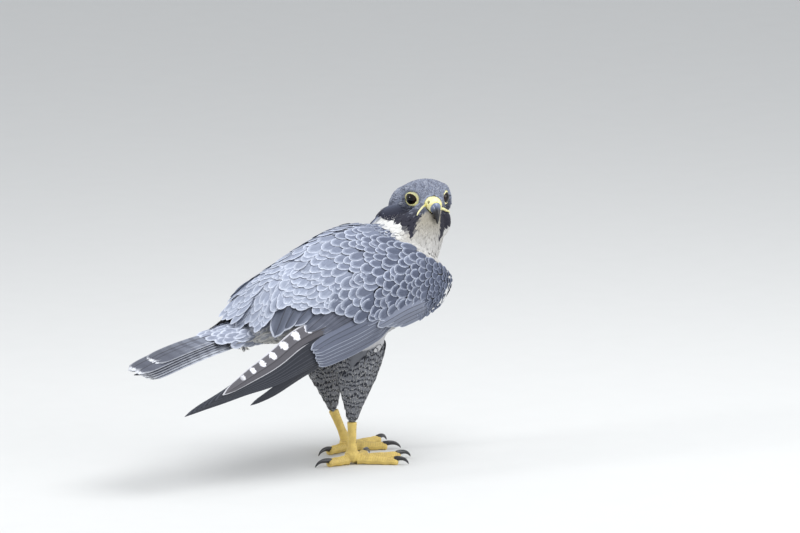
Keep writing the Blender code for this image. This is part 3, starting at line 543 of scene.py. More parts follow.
def mantle_at(points, ragged):
    """How much of the mantle covers each point: the back, and the hind neck behind the white cheek."""
    up, x, z = on_trunk(points)[1], points[:, 0], points[:, 2]
    start, level, slope = MANTLE_LINE
    line = ease(1.5, -1.5, z - (level - slope * (x - start)) + ragged)
    hind = ease(180 - NAPE_HALF - 6, 180 - NAPE_HALF + 2, np.abs(around_neck(points)))
    behind = np.maximum(ease(*CHEEK_END, x + ragged), hind)
    lowest = 0.10 - 0.60 * ease(-38, -78, x)
    return ease(lowest, lowest + 0.20, up + ragged * 0.05) * np.maximum(line, behind)


def back_colours(x, v):
    """Ground, heart and rim of the wing and mantle: slate at the shoulder, paler towards the rump."""
    shoulder = ease(48, 84, x + 16 * np.abs(v - 0.75))
    pale = np.clip((26 - x) / 110 + (v - 0.66) * 0.9, 0, 1)
    ground = mix(mix(COAT["mantle"], COAT["back"], pale), COAT["slate"], shoulder)
    heart = mix(mix(COAT["mantle_heart"], COAT["back_heart"], pale), COAT["slate_heart"], shoulder)
    low = ease(0.86, 0.60, v) * (1 - shoulder)
    heart = mix(heart, COAT["slate_heart"], 0.55 * low)
    rim = mix(mix(COAT["mantle_rim"], COAT["back_rim"], pale), COAT["slate_rim"], shoulder)
    return ground, heart, rim, 1 - 0.35 * pale


def markings(points, ragged):
    """Ground, heart and rim colours of the coat, with heart strength and bar strength."""
    up = on_trunk(points)[1]
    x, z = points[:, 0], points[:, 2]
    hood, stripe = hood_at(points, ragged)
    # Towards the chin the front takes the throat's tone, which carries painted shade under the head
    front = mix(COAT["breast"], COAT["throat"], ease(196, 226, z))
    front = mix(front, COAT["cheek"], ease(THROAT_HALF + 6, THROAT_HALF + 26, np.abs(around_neck(points)))
                * ease(203, 209, z))
    low = ease(168, 140, z)
    front = mix(mix(front, COAT["belly"], low), COAT["rump"], ease(-50, -68, x))
    over = mantle_at(points, ragged)
    ground, heart, rim, strength = back_colours(x, np.full(len(x), 0.98))
    rump = ease(-70, -96, x)
    ground, heart = mix(ground, COAT["rump"], rump), mix(heart, COAT["rump_bar"], rump)
    ground, rim = mix(front, ground, over), mix(front, rim, over)
    heart = mix(COAT["bar"], heart, over)
    hearts = over * (strength * (1 - rump) + 0.6 * rump)
    # Painted light: low on the flanks behind the wings, in the shade of the cloak's hind edge, ground and
    # fringe are painted near white
    painted_flank_light = ease(-56, -74, x) * ease(0.5, 0.15, up)
    ground, rim = mix(ground, COAT["cheek"], painted_flank_light), mix(rim, COAT["cheek"], painted_flank_light)
    bars = np.where(over > 0.5, 0.0, low * 0.8)
    thighs = thigh_side(points) != 0
    ground = np.where(thighs[:, None], COAT["thigh"], ground)
    rim = np.where(thighs[:, None], mix(COAT["thigh"], COAT["cheek"], np.full(len(x), 0.45)), rim)
    bars, hearts = np.where(thighs, 1.0, bars), np.where(thighs, 0.0, hearts)
    # The hood grows lighter towards the top of the head: the crown's tone is a painted sheen over the hood's
    # dark slate
    crown = mix(COAT["face"], COAT["crown"], ease(228, 243, z))
    behind = ease(6, 44, np.abs(around_neck(points)) - 60) * ease(240, 222, z) * (1 - stripe)
    crown = mix(crown, COAT["slate"], behind)
    crown = mix(crown, COAT["fleck"], 0.6 * ease(0.35, 1.0, ragged) * ease(206, 224, z))
    crown = mix(crown, COAT["face"], 0.5 * ease(0.2, -1.0, ragged) * ease(222, 240, z))
    crown = mix(crown, COAT["moustache"], stripe)
    fleck = mix(crown, COAT["fleck"], ease(226, 244, z) * 0.7)
    ground, rim = mix(ground, crown, hood), mix(rim, fleck, hood)
    heart = mix(heart, COAT["moustache"], hood)
    hearts, bars = mix(hearts[:, None], 0.5 * ease(228, 240, z)[:, None], hood)[:, 0], bars * (1 - hood)
    return ground, heart, rim, hearts, bars


# %% Pull the skin in and colour it
def coat_depth(points):
    depth = np.full(len(points), COAT_DEPTH["body"])
    station = on_trunk(points)[0]
    depth = depth + (COAT_DEPTH["neck"] - depth) * ease(0.62, 0.74, station)
    depth = depth + (COAT_DEPTH["head"] - depth) * head_share(points)
    depth = np.where(thigh_side(points) != 0, COAT_DEPTH["thigh"], depth)
    for side, sign in SIDE.items():
        tree = cloak_tree[side]
        close = np.array([(tree.find_nearest(Vector(p))[3] or 99) < 9 for p in points])
        depth = np.where(close & (points[:, 1] * sign > 0), COAT_DEPTH["arm"], depth)
    return depth


# How far back the small coverts reach, and how far up the front they reach, in the wing's x and v
CLOAK_BACK = [(0, 60), (0.10, 56), (0.24, 50), (0.28, 26), (0.30, 8), (0.36, -2), (0.44, -18), (0.54, -33),
              (0.62, -45), (0.70, -55), (0.76, -63), (0.86, -72), (0.96, -90), (1.08, -108), (1.25, -112)]
CLOAK_FRONT = [(34, 1.25), (36, 0.98), (40, 0.94), (48, 0.88), (56, 0.80), (64, 0.78), (66, 0.70), (80, 0.68),
               (84, 0.64), (102, 0.60)]


def cloak_back(v):
    return np.interp(v, *np.array(CLOAK_BACK).T)


def cloak_front(x):
    return np.interp(x, *np.array(CLOAK_FRONT).T)


def tree_of_grid(grid, wanted):
    faces = [face for face in quads(*grid.shape[:2]) if wanted.flat[face[0]]]
    return BVHTree.FromPolygons([tuple(p) for p in grid.reshape(-1, 3)], faces)


CLOAK_X = np.linspace(101, -138, 74)
CLOAK_V = np.linspace(0, 1.25, 30)
cloak_tree = {}
for side in SIDE:
    xs, vs = np.meshgrid(CLOAK_X, CLOAK_V, indexing="ij")
    near = (vs < cloak_front(xs)) & ((vs < 0.9) | (xs > cloak_back(vs) - 10))
    cloak_tree[side] = tree_of_grid(wing_point(side, xs, vs), near)

skin_points = points_of(skin)
skin_out = read_points(skin, "normal")
BROW_ENDS = np.array([(-10.0, 18.0, 10.4), (10.0, 12.0, 9.6)])
BROW_REACH, BROW_PUSH = 3.4, (0.2, 2.1, 0.5)


def brow_push(points):
    """Pushes the skin out along a straight ridge over each eye."""
    local, push = to_head(points), np.zeros_like(points)
    for hand in (1, -1):
        start, end = BROW_ENDS * (1, hand, 1)
        way = end - start
        t = np.clip((local - start) @ way / (way @ way), 0, 1)[:, None]
        away = np.linalg.norm(local - (start + way * t), axis=1)
        push += np.exp(-(away / BROW_REACH) ** 2)[:, None] * head_way(np.array(BROW_PUSH) * (1, hand, 1))
    return push


# The rump fills the room under the wings' hind edge: middle, reach and push of a soft swelling on each side
RUMP_MIDDLE, RUMP_REACH, RUMP_PUSH = np.array([-86.0, 24.0, 138.0]), np.array([24.0, 15.0, 17.0]), 9.0
skin_points = skin_points - skin_out * coat_depth(skin_points)[:, None]
for sign in SIDE.values():
    away = np.linalg.norm((skin_points - RUMP_MIDDLE * (1, sign, 1)) / RUMP_REACH, axis=1)
    skin_points = skin_points + np.exp(-away ** 2)[:, None] * np.array([0, sign * RUMP_PUSH, 1.5])
skin_points = skin_points + brow_push(skin_points)
ORBIT_LEVEL, ORBIT_SLOPE, ORBIT_EDGE = 4.2, 0.75, (16.0, 12.0)
for hand in (1, -1):
    high, reach, ring = round_eye(skin_points, hand)
    spare = high - (ORBIT_LEVEL + ORBIT_SLOPE * np.clip(reach - ring, 0, None))
    cut = np.clip(spare, 0, None) * ease(*ORBIT_EDGE, reach) * (high > 0)
    skin_points = skin_points - eye_axis(hand) * cut[:, None]
move_points(skin, skin_points)
skin.data.update()
give(skin.data, "ground", "FLOAT_COLOR", markings(skin_points, np.zeros(len(skin_points)))[0])
skin.data.shade_smooth()
skin_tree = BVHTree.FromPolygons([tuple(p) for p in skin_points],
                                 [tuple(f.vertices) for f in skin.data.polygons])
print("skin pulled in:", len(skin_points), "points")

# %% [markdown]
# ## Choosing where feathers grow
# Feathers keep a regular distance, a little less across than along. Many places are drawn at random over the
# skin, and each is kept only if no chosen one stands in its oval of room. The seed is fixed, so the same
# plumage grows on every run.

# %% Choosing the roots
NEIGHBOURS = [(i, j, k) for i in (-1, 0, 1) for j in (-1, 0, 1) for k in (-1, 0, 1)]


def spread(points, lie, across, along):
    """Indices of the points that keep their distance from those chosen before them."""
    reach = float(max(across.max(), along.max()))
    grid, kept = {}, []
    rows = zip(points.tolist(), lie.tolist(), (across**2).tolist(), (along**2).tolist())
    for i, ((x, y, z), (lx, ly, lz), a2, b2) in enumerate(rows):
        cx, cy, cz = int(x // reach), int(y // reach), int(z // reach)

        def crowds(other):
            dx, dy, dz = other[0] - x, other[1] - y, other[2] - z
            s = dx * lx + dy * ly + dz * lz
            return s * s / b2 + (dx * dx + dy * dy + dz * dz - s * s) / a2 < 1

        cells = ((cx + gx, cy + gy, cz + gz) for gx, gy, gz in NEIGHBOURS)
        if not any(crowds(other) for cell in cells for other in grid.get(cell, ())):
            kept.append(i)
            grid.setdefault((cx, cy, cz), []).append((x, y, z))
    return np.array(kept)


def on_skin(count, weight):
    """Random places on the skin, with the way out, drawn more where weight is high."""
    mesh = skin.data
    mesh.calc_loop_triangles()
    corner = np.empty(len(mesh.loop_triangles) * 3, np.int32)
    mesh.loop_triangles.foreach_get("vertices", corner)
    corner = corner.reshape(-1, 3)
    a, b, c = (skin_points[corner[:, k]] for k in range(3))
    area = np.linalg.norm(np.cross(b - a, c - a), axis=1) * weight((a + b + c) / 3)
    chance = np.cumsum(area) / area.sum()
    face = np.searchsorted(chance, RNG.random(count))
    share = RNG.random((count, 2))
    share = np.where(share.sum(1, keepdims=True) > 1, 1 - share, share)
    weights = np.concatenate([1 - share.sum(1, keepdims=True), share], axis=1)[..., None]
    return (skin_points[corner[face]] * weights).sum(1), unit((skin_out[corner[face]] * weights).sum(1))


# %% [markdown]
# ## Three feather shapes
# A body feather is a rounded blade with a domed top, a soft one has a frayed end, and the face's feathers are
# narrow. Each is made once, one unit long and wide, as a closed thin shape of few faces. `along` runs from
# root to tip, and the map `feather` tells a material where it is on the blade.

# %% Feather shapes
def blade(name, rows, columns, camber, thick, fray=0.0):
    """A thin closed blade along +Y: rows are (place along, half width)."""
    points = []
    for k, (along, half) in enumerate(rows):
        for j in columns:
            ragged = fray * (1 if (k + int(j * 10)) % 2 else -1) * ease(0.6, 1.0, along) * (abs(j) < 1)
            z = camber * (1 - j * j) * min(1, half * 2) + thick * (1 - j * j) * (0 < along < 1)
            points.append((j * half, along + ragged, z))
    cols = len(columns)
    rim = list(range(cols)) + [(i + 1) * cols - 1 for i in range(1, len(rows))]
    rim += [(len(rows) - 1) * cols + j for j in range(cols - 2, -1, -1)]
    rim += [i * cols for i in range(len(rows) - 2, 0, -1)]
    middle = len(points)
    points.append((0.0, 0.5, camber * 0.6))
    low = [(b, a, middle) for a, b in zip(rim, rim[1:] + rim[:1])]
    mesh = bpy.data.meshes.new(name)
    mesh.from_pydata(points, [], quads(len(rows), cols) + low)
    places = np.array(points)
    give(mesh, "along", "FLOAT", places[:, 1])
    give(mesh, "aside", "FLOAT", places[:, 0])
    give_uv(mesh, "feather", np.stack([places[:, 0] + 0.5, places[:, 1]], axis=1))
    made = stand(name, mesh)
    soften(made, 60)
    made.hide_render = True
    return made


ROUND_ROWS = [(0, 0.16), (0.3, 0.42), (0.55, 0.5), (0.74, 0.455), (0.88, 0.33), (0.96, 0.19), (1, 0.05)]
SOFT_ROWS = [(0, 0.15), (0.35, 0.45), (0.65, 0.5), (0.86, 0.36), (1, 0.12)]
FINE_ROWS = [(0, 0.2), (0.45, 0.5), (0.8, 0.3), (1, 0.03)]
SHAPES = {
    "round": blade("feather_round", ROUND_ROWS, (-1, -0.55, 0, 0.55, 1), 0.03, 0.010),
    "soft": blade("feather_soft", SOFT_ROWS, (-1, -0.5, 0, 0.5, 1), 0.07, 0.014, fray=0.05),
    "fine": blade("feather_fine", FINE_ROWS, (-1, 0, 1), 0.12, 0.03),
}
print("feather shapes:", {k: len(o.data.polygons) for k, o in SHAPES.items()})

# %% [markdown]
# ## A tree of nodes that lays a coat
# Geometry Nodes set one feather shape on every chosen point. The point carries which way is out, which way
# the feather lies, its width and length, and how far its tip must drop to follow the body's curve. The tree
# also writes the bake map: each feather gets a tiny patch at the place of its root.

# %% One node at a time
def node(tree, kind, *entries, **settings):
    """Adds a node. Each entry is an input, by name or number, with the output or the value that it takes."""
    made = tree.nodes.new(kind)
    for key, value in settings.items():
        setattr(made, key, value)
    for key, value in entries:
        if isinstance(key, int) or key in made.inputs:
            entry = made.inputs[key]
        else:
            entry = next(s for s in made.inputs if s.identifier == key)
        value = getattr(value, "socket", value)
        if isinstance(value, bpy.types.NodeSocket):
            tree.links.new(value, entry)
        else:
            entry.default_value = value
    return made


# %% The node tree
def coat_tree():
    tree = bpy.data.node_groups.new("lay_feathers", "GeometryNodeTree")
    for name, kind in (("Geometry", "Geometry"), ("Feather", "Object"), ("Sway", "Float"),
                       ("Patch", "Float"), ("Seed", "Int"), ("Finish", "Material")):
        tree.interface.new_socket(name, in_out="INPUT", socket_type="NodeSocket" + kind)
    tree.interface.new_socket("Geometry", in_out="OUTPUT", socket_type="NodeSocketGeometry")
    given = tree.nodes.new("NodeGroupInput").outputs

    def own(name, kind="FLOAT_VECTOR"):
        made = node(tree, "GeometryNodeInputNamedAttribute", ("Name", name), data_type=kind)
        return made.outputs["Attribute"]

    def number(operation, a, b):
        return node(tree, "ShaderNodeMath", (0, a), (1, b), operation=operation).outputs["Value"]

    def vector(operation, a, b):
        second = "Scale" if operation == "SCALE" else 1
        return node(tree, "ShaderNodeVectorMath", (0, a), (second, b), operation=operation).outputs["Vector"]

    axes = node(tree, "FunctionNodeAxesToRotation", ("Primary Axis", own("out")),
                ("Secondary Axis", own("lie")), primary_axis="Z", secondary_axis="Y")
    draw = node(tree, "FunctionNodeRandomValue", ("Min_001", number("MULTIPLY", given["Sway"], -1.0)),
                ("Max_001", given["Sway"]), ("Seed", given["Seed"]), data_type="FLOAT")
    turn = node(tree, "FunctionNodeAxisAngleToRotation", ("Axis", (0, 0, 1)), ("Angle", draw.outputs[1]))
    swayed = node(tree, "FunctionNodeRotateRotation", ("Rotation", axes.outputs["Rotation"]),
                  ("Rotate By", turn.outputs["Rotation"]), rotation_space="LOCAL")
    shape = node(tree, "GeometryNodeObjectInfo", ("Object", given["Feather"]))
    lay = node(tree, "GeometryNodeInstanceOnPoints", ("Points", given["Geometry"]),
               ("Instance", shape.outputs["Geometry"]), ("Rotation", swayed.outputs["Rotation"]),
               ("Scale", own("size")))
    real = node(tree, "GeometryNodeRealizeInstances", ("Geometry", lay.outputs["Instances"]))
    along = own("along", "FLOAT")
    rise = number("MULTIPLY", own("rise", "FLOAT"), along)
    drop = number("MULTIPLY", own("drop", "FLOAT"), number("MULTIPLY", along, along))
    bend = vector("SCALE", own("out"), number("SUBTRACT", rise, drop))
    move = node(tree, "GeometryNodeSetPosition", ("Geometry", real.outputs["Geometry"]), ("Offset", bend))
    patch = node(tree, "ShaderNodeCombineXYZ", ("X", own("aside", "FLOAT")),
                 ("Y", number("SUBTRACT", along, 0.5)))
    place = vector("SCALE", patch.outputs["Vector"], given["Patch"])
    bake = node(tree, "GeometryNodeStoreNamedAttribute", ("Name", "OFBake"),
                ("Geometry", move.outputs["Geometry"]), ("Value", vector("ADD", place, own("unwrap"))),
                data_type="FLOAT2", domain="CORNER")
    finish = node(tree, "GeometryNodeSetMaterial", ("Geometry", bake.outputs["Geometry"]),
                  ("Material", given["Finish"]))
    node(tree, "NodeGroupOutput", ("Geometry", finish.outputs["Geometry"]))
    return tree


COAT_TREE = coat_tree()
PATCH, SWAY = 0.003, 0.14
BAR_PITCH = 5.4
FACING_LEAST, DROP_LEAST, DROP_MOST = 0.2, -0.35, 0.5


def set_inputs(modifier, **values):
    """Sets a node modifier's inputs, which Blender knows by identifier and not by name."""
    for item in modifier.node_group.interface.items_tree:
        if item.in_out == "INPUT" and item.name in values:
            modifier[item.identifier] = values[item.name]


def lay_coat(name, shape, roots, out, lie, width, length, marks, unwrap, ground_tree, lift, run=0.0):
    """Grows one coat piece. marks are ground, heart, rim, hearts and bars; lift is the tip's height.

    run is how far each root lies down the body, so that bars run on from feather to feather.
    """
    over = np.zeros(len(roots))
    for i, tip in enumerate(roots + lie * length[:, None]):
        near, facing, _, _ = ground_tree.find_nearest(Vector(tip))
        turned = facing.dot(Vector(out[i])) if near is not None else 0
        if abs(turned) > FACING_LEAST:
            over[i] = (Vector(tip) - near).dot(facing) * math.copysign(1, turned)
    over = np.clip(over, DROP_LEAST * length, DROP_MOST * length)
    chance = RNG.random(len(roots))
    level, start = 0 * length, run / BAR_PITCH + 0 * length
    vectors = {"out": (out,), "lie": (lie,), "size": (width * MM, length * MM, width * MM),
               "unwrap": (unwrap, level), "marks": (*marks[3:], chance),
               "bands": (start % 1.0, length / BAR_PITCH, level)}
    mesh = bpy.data.meshes.new(name + "_roots")
    mesh.from_pydata(((roots + SHIFT) * MM).tolist(), [], [])
    for key, parts in vectors.items():
        give(mesh, key, "FLOAT_VECTOR", np.column_stack(parts))
    for key, values in (("rise", lift * MM), ("drop", over * MM)):
        give(mesh, key, "FLOAT", values)
    for key, values in zip(("ground", "heart", "rim"), marks):
        give(mesh, key, "FLOAT_COLOR", values)
    made = stand(name, mesh)
    grow = made.modifiers.new("grow", "NODES")
    grow.node_group = COAT_TREE
    set_inputs(grow, Feather=SHAPES[shape], Sway=SWAY, Patch=PATCH, Seed=3, Finish=PLUMAGE)
    freeze(made)
    for spare in ("out", "lie", "size", "rise", "drop", "unwrap", "along", "aside"):
        if spare in made.data.attributes:
            made.data.attributes.remove(made.data.attributes[spare])
    print(name, len(roots), "feathers,", len(made.data.polygons), "faces")
    return made


# %% [markdown]
# ## Finishes
# Every finish is a small graph of nodes. `Finish` is a short way to write one: each call adds a node and
# gives back its output as a `Signal`, and sums of signals add nodes too. The feather finish reads the colours
# that each feather carries and draws the dark heart, the bars, the pale fringe and the fine barbs.

# %% A short way to write finishes
def reckoner(operation, flip=False):
    """A method of Signal that adds one math node."""
    def reckon(self, other=0.0):
        a, b = (other, self) if flip else (self, other)
        made = node(self.tree, "ShaderNodeMath", (0, a), (1, b), operation=operation)
        return Signal(self.tree, made.outputs[0])
    return reckon


class Signal:
    """The output of a shader node, which can be reckoned with like a number."""

    def __init__(self, tree, socket):
        self.tree, self.socket = tree, socket

    __add__, __sub__, __rsub__ = reckoner("ADD"), reckoner("SUBTRACT"), reckoner("SUBTRACT", True)
    __mul__, __truediv__, __pow__ = (reckoner(name) for name in ("MULTIPLY", "DIVIDE", "POWER"))
    __abs__, fract, sine, root = (reckoner(name) for name in ("ABSOLUTE", "FRACT", "SINE", "SQRT"))
    at_least = reckoner("MAXIMUM")


class Finish:
    """One material, and short calls that each add a node to it."""

    def __init__(self, name, roughness, specular=0.5, sheen=0.0, coat=0.0):
        self.made = bpy.data.materials.new(name)
        self.made.use_nodes = True
        self.tree = self.made.node_tree
        self.shader = self.tree.nodes["Principled BSDF"]
        for key, value in (("Roughness", roughness), ("Specular IOR Level", specular),
                           ("Sheen Weight", sheen), ("Coat Weight", coat)):
            self.shader.inputs[key].default_value = value
        if coat:
            self.shader.inputs["Coat Roughness"].default_value = 0.03

    def add(self, kind, output, *entries, **settings):
        return Signal(self.tree, node(self.tree, kind, *entries, **settings).outputs[output])

    def step(self, value, low, high):
        """0 below low, 1 above high, soft between."""
        return self.add("ShaderNodeMapRange", "Result", ("Value", value), ("From Min", low),
                        ("From Max", high), interpolation_type="SMOOTHSTEP")

    def blend(self, share, a, b):
        a, b = (colour if isinstance(colour, Signal) else (*colour, 1.0) for colour in (a, b))
        return self.add("ShaderNodeMix", 2, (0, share), (6, a), (7, b), data_type="RGBA")

    def own(self, name, part="Color"):
        """An attribute of the piece."""
        return self.add("ShaderNodeAttribute", part, attribute_name=name)

    def split(self, vector):
        parts = node(self.tree, "ShaderNodeSeparateXYZ", (0, vector)).outputs
        return [Signal(self.tree, part) for part in parts]

    def joined(self, *parts):
        return self.add("ShaderNodeCombineXYZ", 0, *enumerate(parts))

    def place(self):
        return self.add("ShaderNodeTexCoord", "Object")

    def map(self, name):
        return self.add("ShaderNodeUVMap", 0, uv_map=name)

    def noise(self, scale, detail=3.0, vector=None):
        return self.add("ShaderNodeTexNoise", "Fac", ("Vector", vector or self.place()), ("Scale", scale),
                        ("Detail", detail))

    def cells(self, scale):
        return self.add("ShaderNodeTexVoronoi", "Distance", ("Vector", self.place()), ("Scale", scale))

    def shade(self, colour, low, high, by):
        """The colour made darker or lighter between two factors."""
        return self.add("ShaderNodeHueSaturation", 0, ("Value", by * (high - low) + low), ("Color", colour))

    def bump(self, height, strength, distance):
        normal = self.add("ShaderNodeBump", 0, ("Strength", strength), ("Distance", distance),
                          ("Height", height))
        self.tree.links.new(normal.socket, self.shader.inputs["Normal"])

    def done(self, colour):
        self.tree.links.new(colour.socket, self.shader.inputs["Base Color"])
        return self.made


# %% The finish of body feathers
BARB_LINES = 34.0


def feather_finish():
    f = Finish("plumage", 0.78, specular=0.2, sheen=0.05)
    u, v, _ = f.split(f.map("feather"))
    hearts, bars, chance = f.split(f.own("marks", "Vector"))
    start, reach, _ = f.split(f.own("bands", "Vector"))
    aside = abs((u - 0.5) * 2.0)
    wobble = (f.noise(520.0) - 0.5) * 0.30
    past = ((v - 0.55) / 0.45).at_least(0.0)
    edge = (aside**2.0 + past**2.0).root() + wobble
    heart = (1.0 - f.step(edge, 0.52, 0.84)) * hearts
    wave = (f.noise(95.0, 1.0) - 0.5) * 2.4
    chevron = (start + (v + aside * -0.16) * reach + (wobble * 0.9 + wave)).fract()
    bar = (1.0 - f.step(abs(chevron - 0.5), 0.13, 0.24)) * bars
    colour = f.blend(heart, f.own("ground"), f.own("heart"))
    colour = f.blend(bar, colour, f.own("heart"))
    colour = f.blend(f.step(edge, 0.87, 0.93), colour, f.own("rim"))
    shaft = 1.0 - f.step(aside, 0.02, 0.09)
    colour = f.blend(shaft * (hearts * 0.6), colour, f.own("heart"))
    fibre = f.noise(1.0, 3.0, f.joined(u * 13.0, v * 2.4, chance * 40.0))
    barbs = ((v + aside * -0.42) * (BARB_LINES * 6.28)).sine() * 0.5 + 0.5
    for low, high, by in ((0.80, 1.20, fibre), (0.94, 1.05, barbs), (0.90, 1.08, chance)):
        colour = f.shade(colour, low, high, by)
    f.bump(barbs, 0.35, 0.0002)
    return f.done(colour)


# Painted shade: the skin seen between feathers takes the coat's colour there, darkened by 2 to 22 percent
# with a random mottle
def skin_shade_finish():
    f = Finish("down", 0.9, specular=0.1)
    return f.done(f.shade(f.own("ground"), 0.78, 0.98, f.noise(700.0)))


PLUMAGE, SHADED_DOWN = feather_finish(), skin_shade_finish()
skin.data.materials.clear()
skin.data.materials.append(SHADED_DOWN)
print("plumage:", len(PLUMAGE.node_tree.nodes), "nodes")

# %% [markdown]
# ## The coat on body, neck and head
# Feathers are smallest round the bill and grow towards the belly and back. Where the folded wings cover the
# body nothing is planted, because nobody can see it. Feathers also keep clear of the bare eye ring and of
# the cere.

# %% How large feathers are, place by place
FACE_SIZES = [(6, 1.15, 2.6), (16, 1.4, 3.4), (27, 1.9, 4.8), (38, 2.4, 6.2), (50, 3.0, 8.0)]
BODY_SIZES = [(0.0, 7.0, 15), (0.25, 7.5, 16), (0.45, 6.5, 14.5), (0.62, 5.2, 12), (0.78, 4.0, 10),
              (0.95, 3.2, 8.5)]
THIGH_SIZES = [(0.0, 5.6, 14.0), (0.5, 4.6, 11.5), (0.85, 3.2, 8.0), (1.05, 2.2, 5.0)]
GAP_ACROSS, GAP_ALONG = 0.56, 0.36
TRUNK_LONG, THIGH_LONG = 250.0, 88.0
FACE_REACH, NECK_FROM = 27, 0.66


def sizes_at(points):
    """Width and length of the feathers at each point."""
    reach = np.linalg.norm(to_head(points) - BILL_BASE, axis=1)
    body = read_rows(BODY_SIZES, on_trunk(points)[0])
    size = mix(body, read_rows(FACE_SIZES, reach), head_share(points))
    sides = thigh_side(points)
    for side, sign in SIDE.items():
        thigh = read_rows(THIGH_SIZES, on_thigh(side, points)[0])
        size = np.where((sides == sign)[:, None], thigh, size)
    return size[:, 0], size[:, 1]


# How far under a wing the skin is bare, how squarely the wing must lie over it, and the rump's own room
COVER_REACH, COVER_SQUARE, RUMP_ROOM = 17.0, 0.72, 1.25
# How far past the bird's middle each wing is still asked about
MIDDLE_ROOM = 6
# No breast feather grows this near to the wing's front edge, which would push it past the shoulder
EDGE_REACH, EDGE_TOP, EDGE_FROM = 10.0, 190.0, 45.0


def under_wings(points):
    """True where a folded wing lies over the skin."""
    covered = np.zeros(len(points), bool)
    for side, sign in SIDE.items():
        facing = np.array([0, sign, 0.6])
        for i in np.nonzero(points[:, 1] * sign > -MIDDLE_ROOM)[0]:
            near, way, _, reach = cloak_tree[side].find_nearest(Vector(points[i]))
            if near is None or reach > COVER_REACH:
                continue
            covered[i] |= reach < EDGE_REACH and near.z < EDGE_TOP and near.x > EDGE_FROM
            if np.dot(way, facing) < 0:
                way = -way
            depth = (near - Vector(points[i])).dot(way)
            covered[i] |= depth > COVER_SQUARE * reach and depth > -0.5
        covered &= np.linalg.norm((points - RUMP_MIDDLE * (1, sign, 1)) / RUMP_REACH, axis=1) > RUMP_ROOM
    return covered


# The way the camera looks, in the bird's own frame
CAMERA_TURN, CAMERA_RAISE = math.radians(42.0), math.radians(10.0)
RIGHT = np.array([math.cos(CAMERA_TURN), -math.sin(CAMERA_TURN), 0.0])
TOWARDS = np.array([-math.sin(CAMERA_TURN) * math.cos(CAMERA_RAISE),
                    -math.cos(CAMERA_TURN) * math.cos(CAMERA_RAISE), math.sin(CAMERA_RAISE)])
ABOVE = np.cross(TOWARDS, RIGHT)
BARE_BILL, BARE_GAPE = 10.0, 1.6
# The edge of the mouth on each side, x, y, z and radius, and the way it is laid on the skin
GAPE_ROWS = {
    -1: [(10, -6.0, -2.2, 1.4), (10, -8.8, -4.6, 1.6), (10, -11.3, -7.3, 1.5), (10, -13.2, -9.6, 1.2),
         (10, -14.5, -12.0, 0.6)],
    1: [(17, 7.4, -4.2, 1.4), (13, 9.6, -6.4, 1.6), (9, 11.0, -8.8, 1.3), (5, 12.0, -11.2, 0.9),
        (1, 12.8, -13.4, 0.5)],
}
GAPE_WAY = {-1: TOWARDS, 1: head_way((0, 1, 0))}
GAPE_OVER, GAPE_STEPS = {-1: 0.3, 1: 0.5}, 22


def mouth_line(hand):
    """One edge of the mouth, laid on the skin: its points and radius."""
    rows = between_rows(GAPE_ROWS[hand], np.linspace(0, len(GAPE_ROWS[hand]) - 1, GAPE_STEPS))
    points, way = from_head(rows[:, :3]), np.asarray(GAPE_WAY[hand])
    for i, point in enumerate(points):
        near, out, _, _ = skin_tree.ray_cast(Vector(point + way * 30), Vector(-way))
        points[i] = point if near is None else near + out * GAPE_OVER[hand]
    return points, rows[:, 3]


MOUTH = {hand: mouth_line(hand) for hand in GAPE_ROWS}
print("mouth", {hand: np.round(to_head(line[0])[::7], 1).tolist() for hand, line in MOUTH.items()})


def on_bare_face(points, margin):
    """True on the cere, the mouth and the eye rings."""
    local = to_head(points)
    bare = (local[:, 0] > 11.5) & (np.hypot(local[:, 1], local[:, 2] + 2.5) < BARE_BILL + margin)
    level = (local[:, 2] > -15.5) & (local[:, 2] < 0)
    bare |= (local[:, 0] > 13) & (np.abs(local[:, 1]) < 6.0 + margin) & level
    for hand in (1, -1):
        high, reach, ring = round_eye(points, hand)
        bare |= (high > 0) & (reach < ring - 0.3 + margin)
        away = np.linalg.norm(points[:, None] - MOUTH[hand][0], axis=2).min(axis=1)
        bare |= away < BARE_GAPE + margin
    return bare


# %% The map that the bake reads
def in_map(places):
    """Places of a map, kept a little inside it."""
    return np.clip(places, 0.005, 0.995)


def bake_place(points):
    """An unwrap of the body: the angle round the spine against the station, with the head in a corner."""
    station, up, aside, _ = on_trunk(points)
    turn = np.arctan2(aside, up) / (2 * math.pi) + 0.5
    local = to_head(points)
    share = head_share(points) > 0.5
    round_head = np.arctan2(local[:, 1], -local[:, 0]) / (2 * math.pi) + 0.5
    height = (local[:, 2] + 45) / 75
    place = np.stack([0.01 + turn * 0.60, 0.01 + station * 0.97], axis=1)
    corner = np.stack([0.64 + round_head * 0.35, 0.55 + height * 0.43], axis=1)
    place = np.where(share[:, None], corner, place)
    for k, (side, sign) in enumerate(SIDE.items()):
        t, _, angle = on_thigh(side, points)
        leg = np.stack([0.64 + 0.17 * k + (angle / (2 * math.pi) + 0.5) * 0.16, 0.02 + t * 0.48], axis=1)
        place = np.where((thigh_side(points) == sign)[:, None], leg, place)
    return in_map(place)


give_uv(skin.data, "OFBake", bake_place(skin_points))


# %% Grow the coat
# Roots keep clear of the bare face by the first margin. A tip past the second one is shortened, and so are
# feathers close to the cloak or the eye
ROOT_CLEAR, TIP_CLEAR, TIP_SHORT = 0.3, -0.6, 0.55
CLOAK_NEAR, EYE_NEAR, NEAR_SHORT = (11, 5), (7.0, 1.0), 0.4


def zone_of(points):
    """The part of the coat that each point belongs to."""
    head = head_share(points)
    near_bill = np.linalg.norm(to_head(points) - BILL_BASE, axis=1) < FACE_REACH
    return np.select([(head > 0.5) & near_bill, head > 0.02, thigh_side(points) != 0,
                      mantle_at(points, 0.0) > 0.5, on_trunk(points)[0] > NECK_FROM],
                     ["face", "crown", "thighs", "mantle", "neck"], "body")


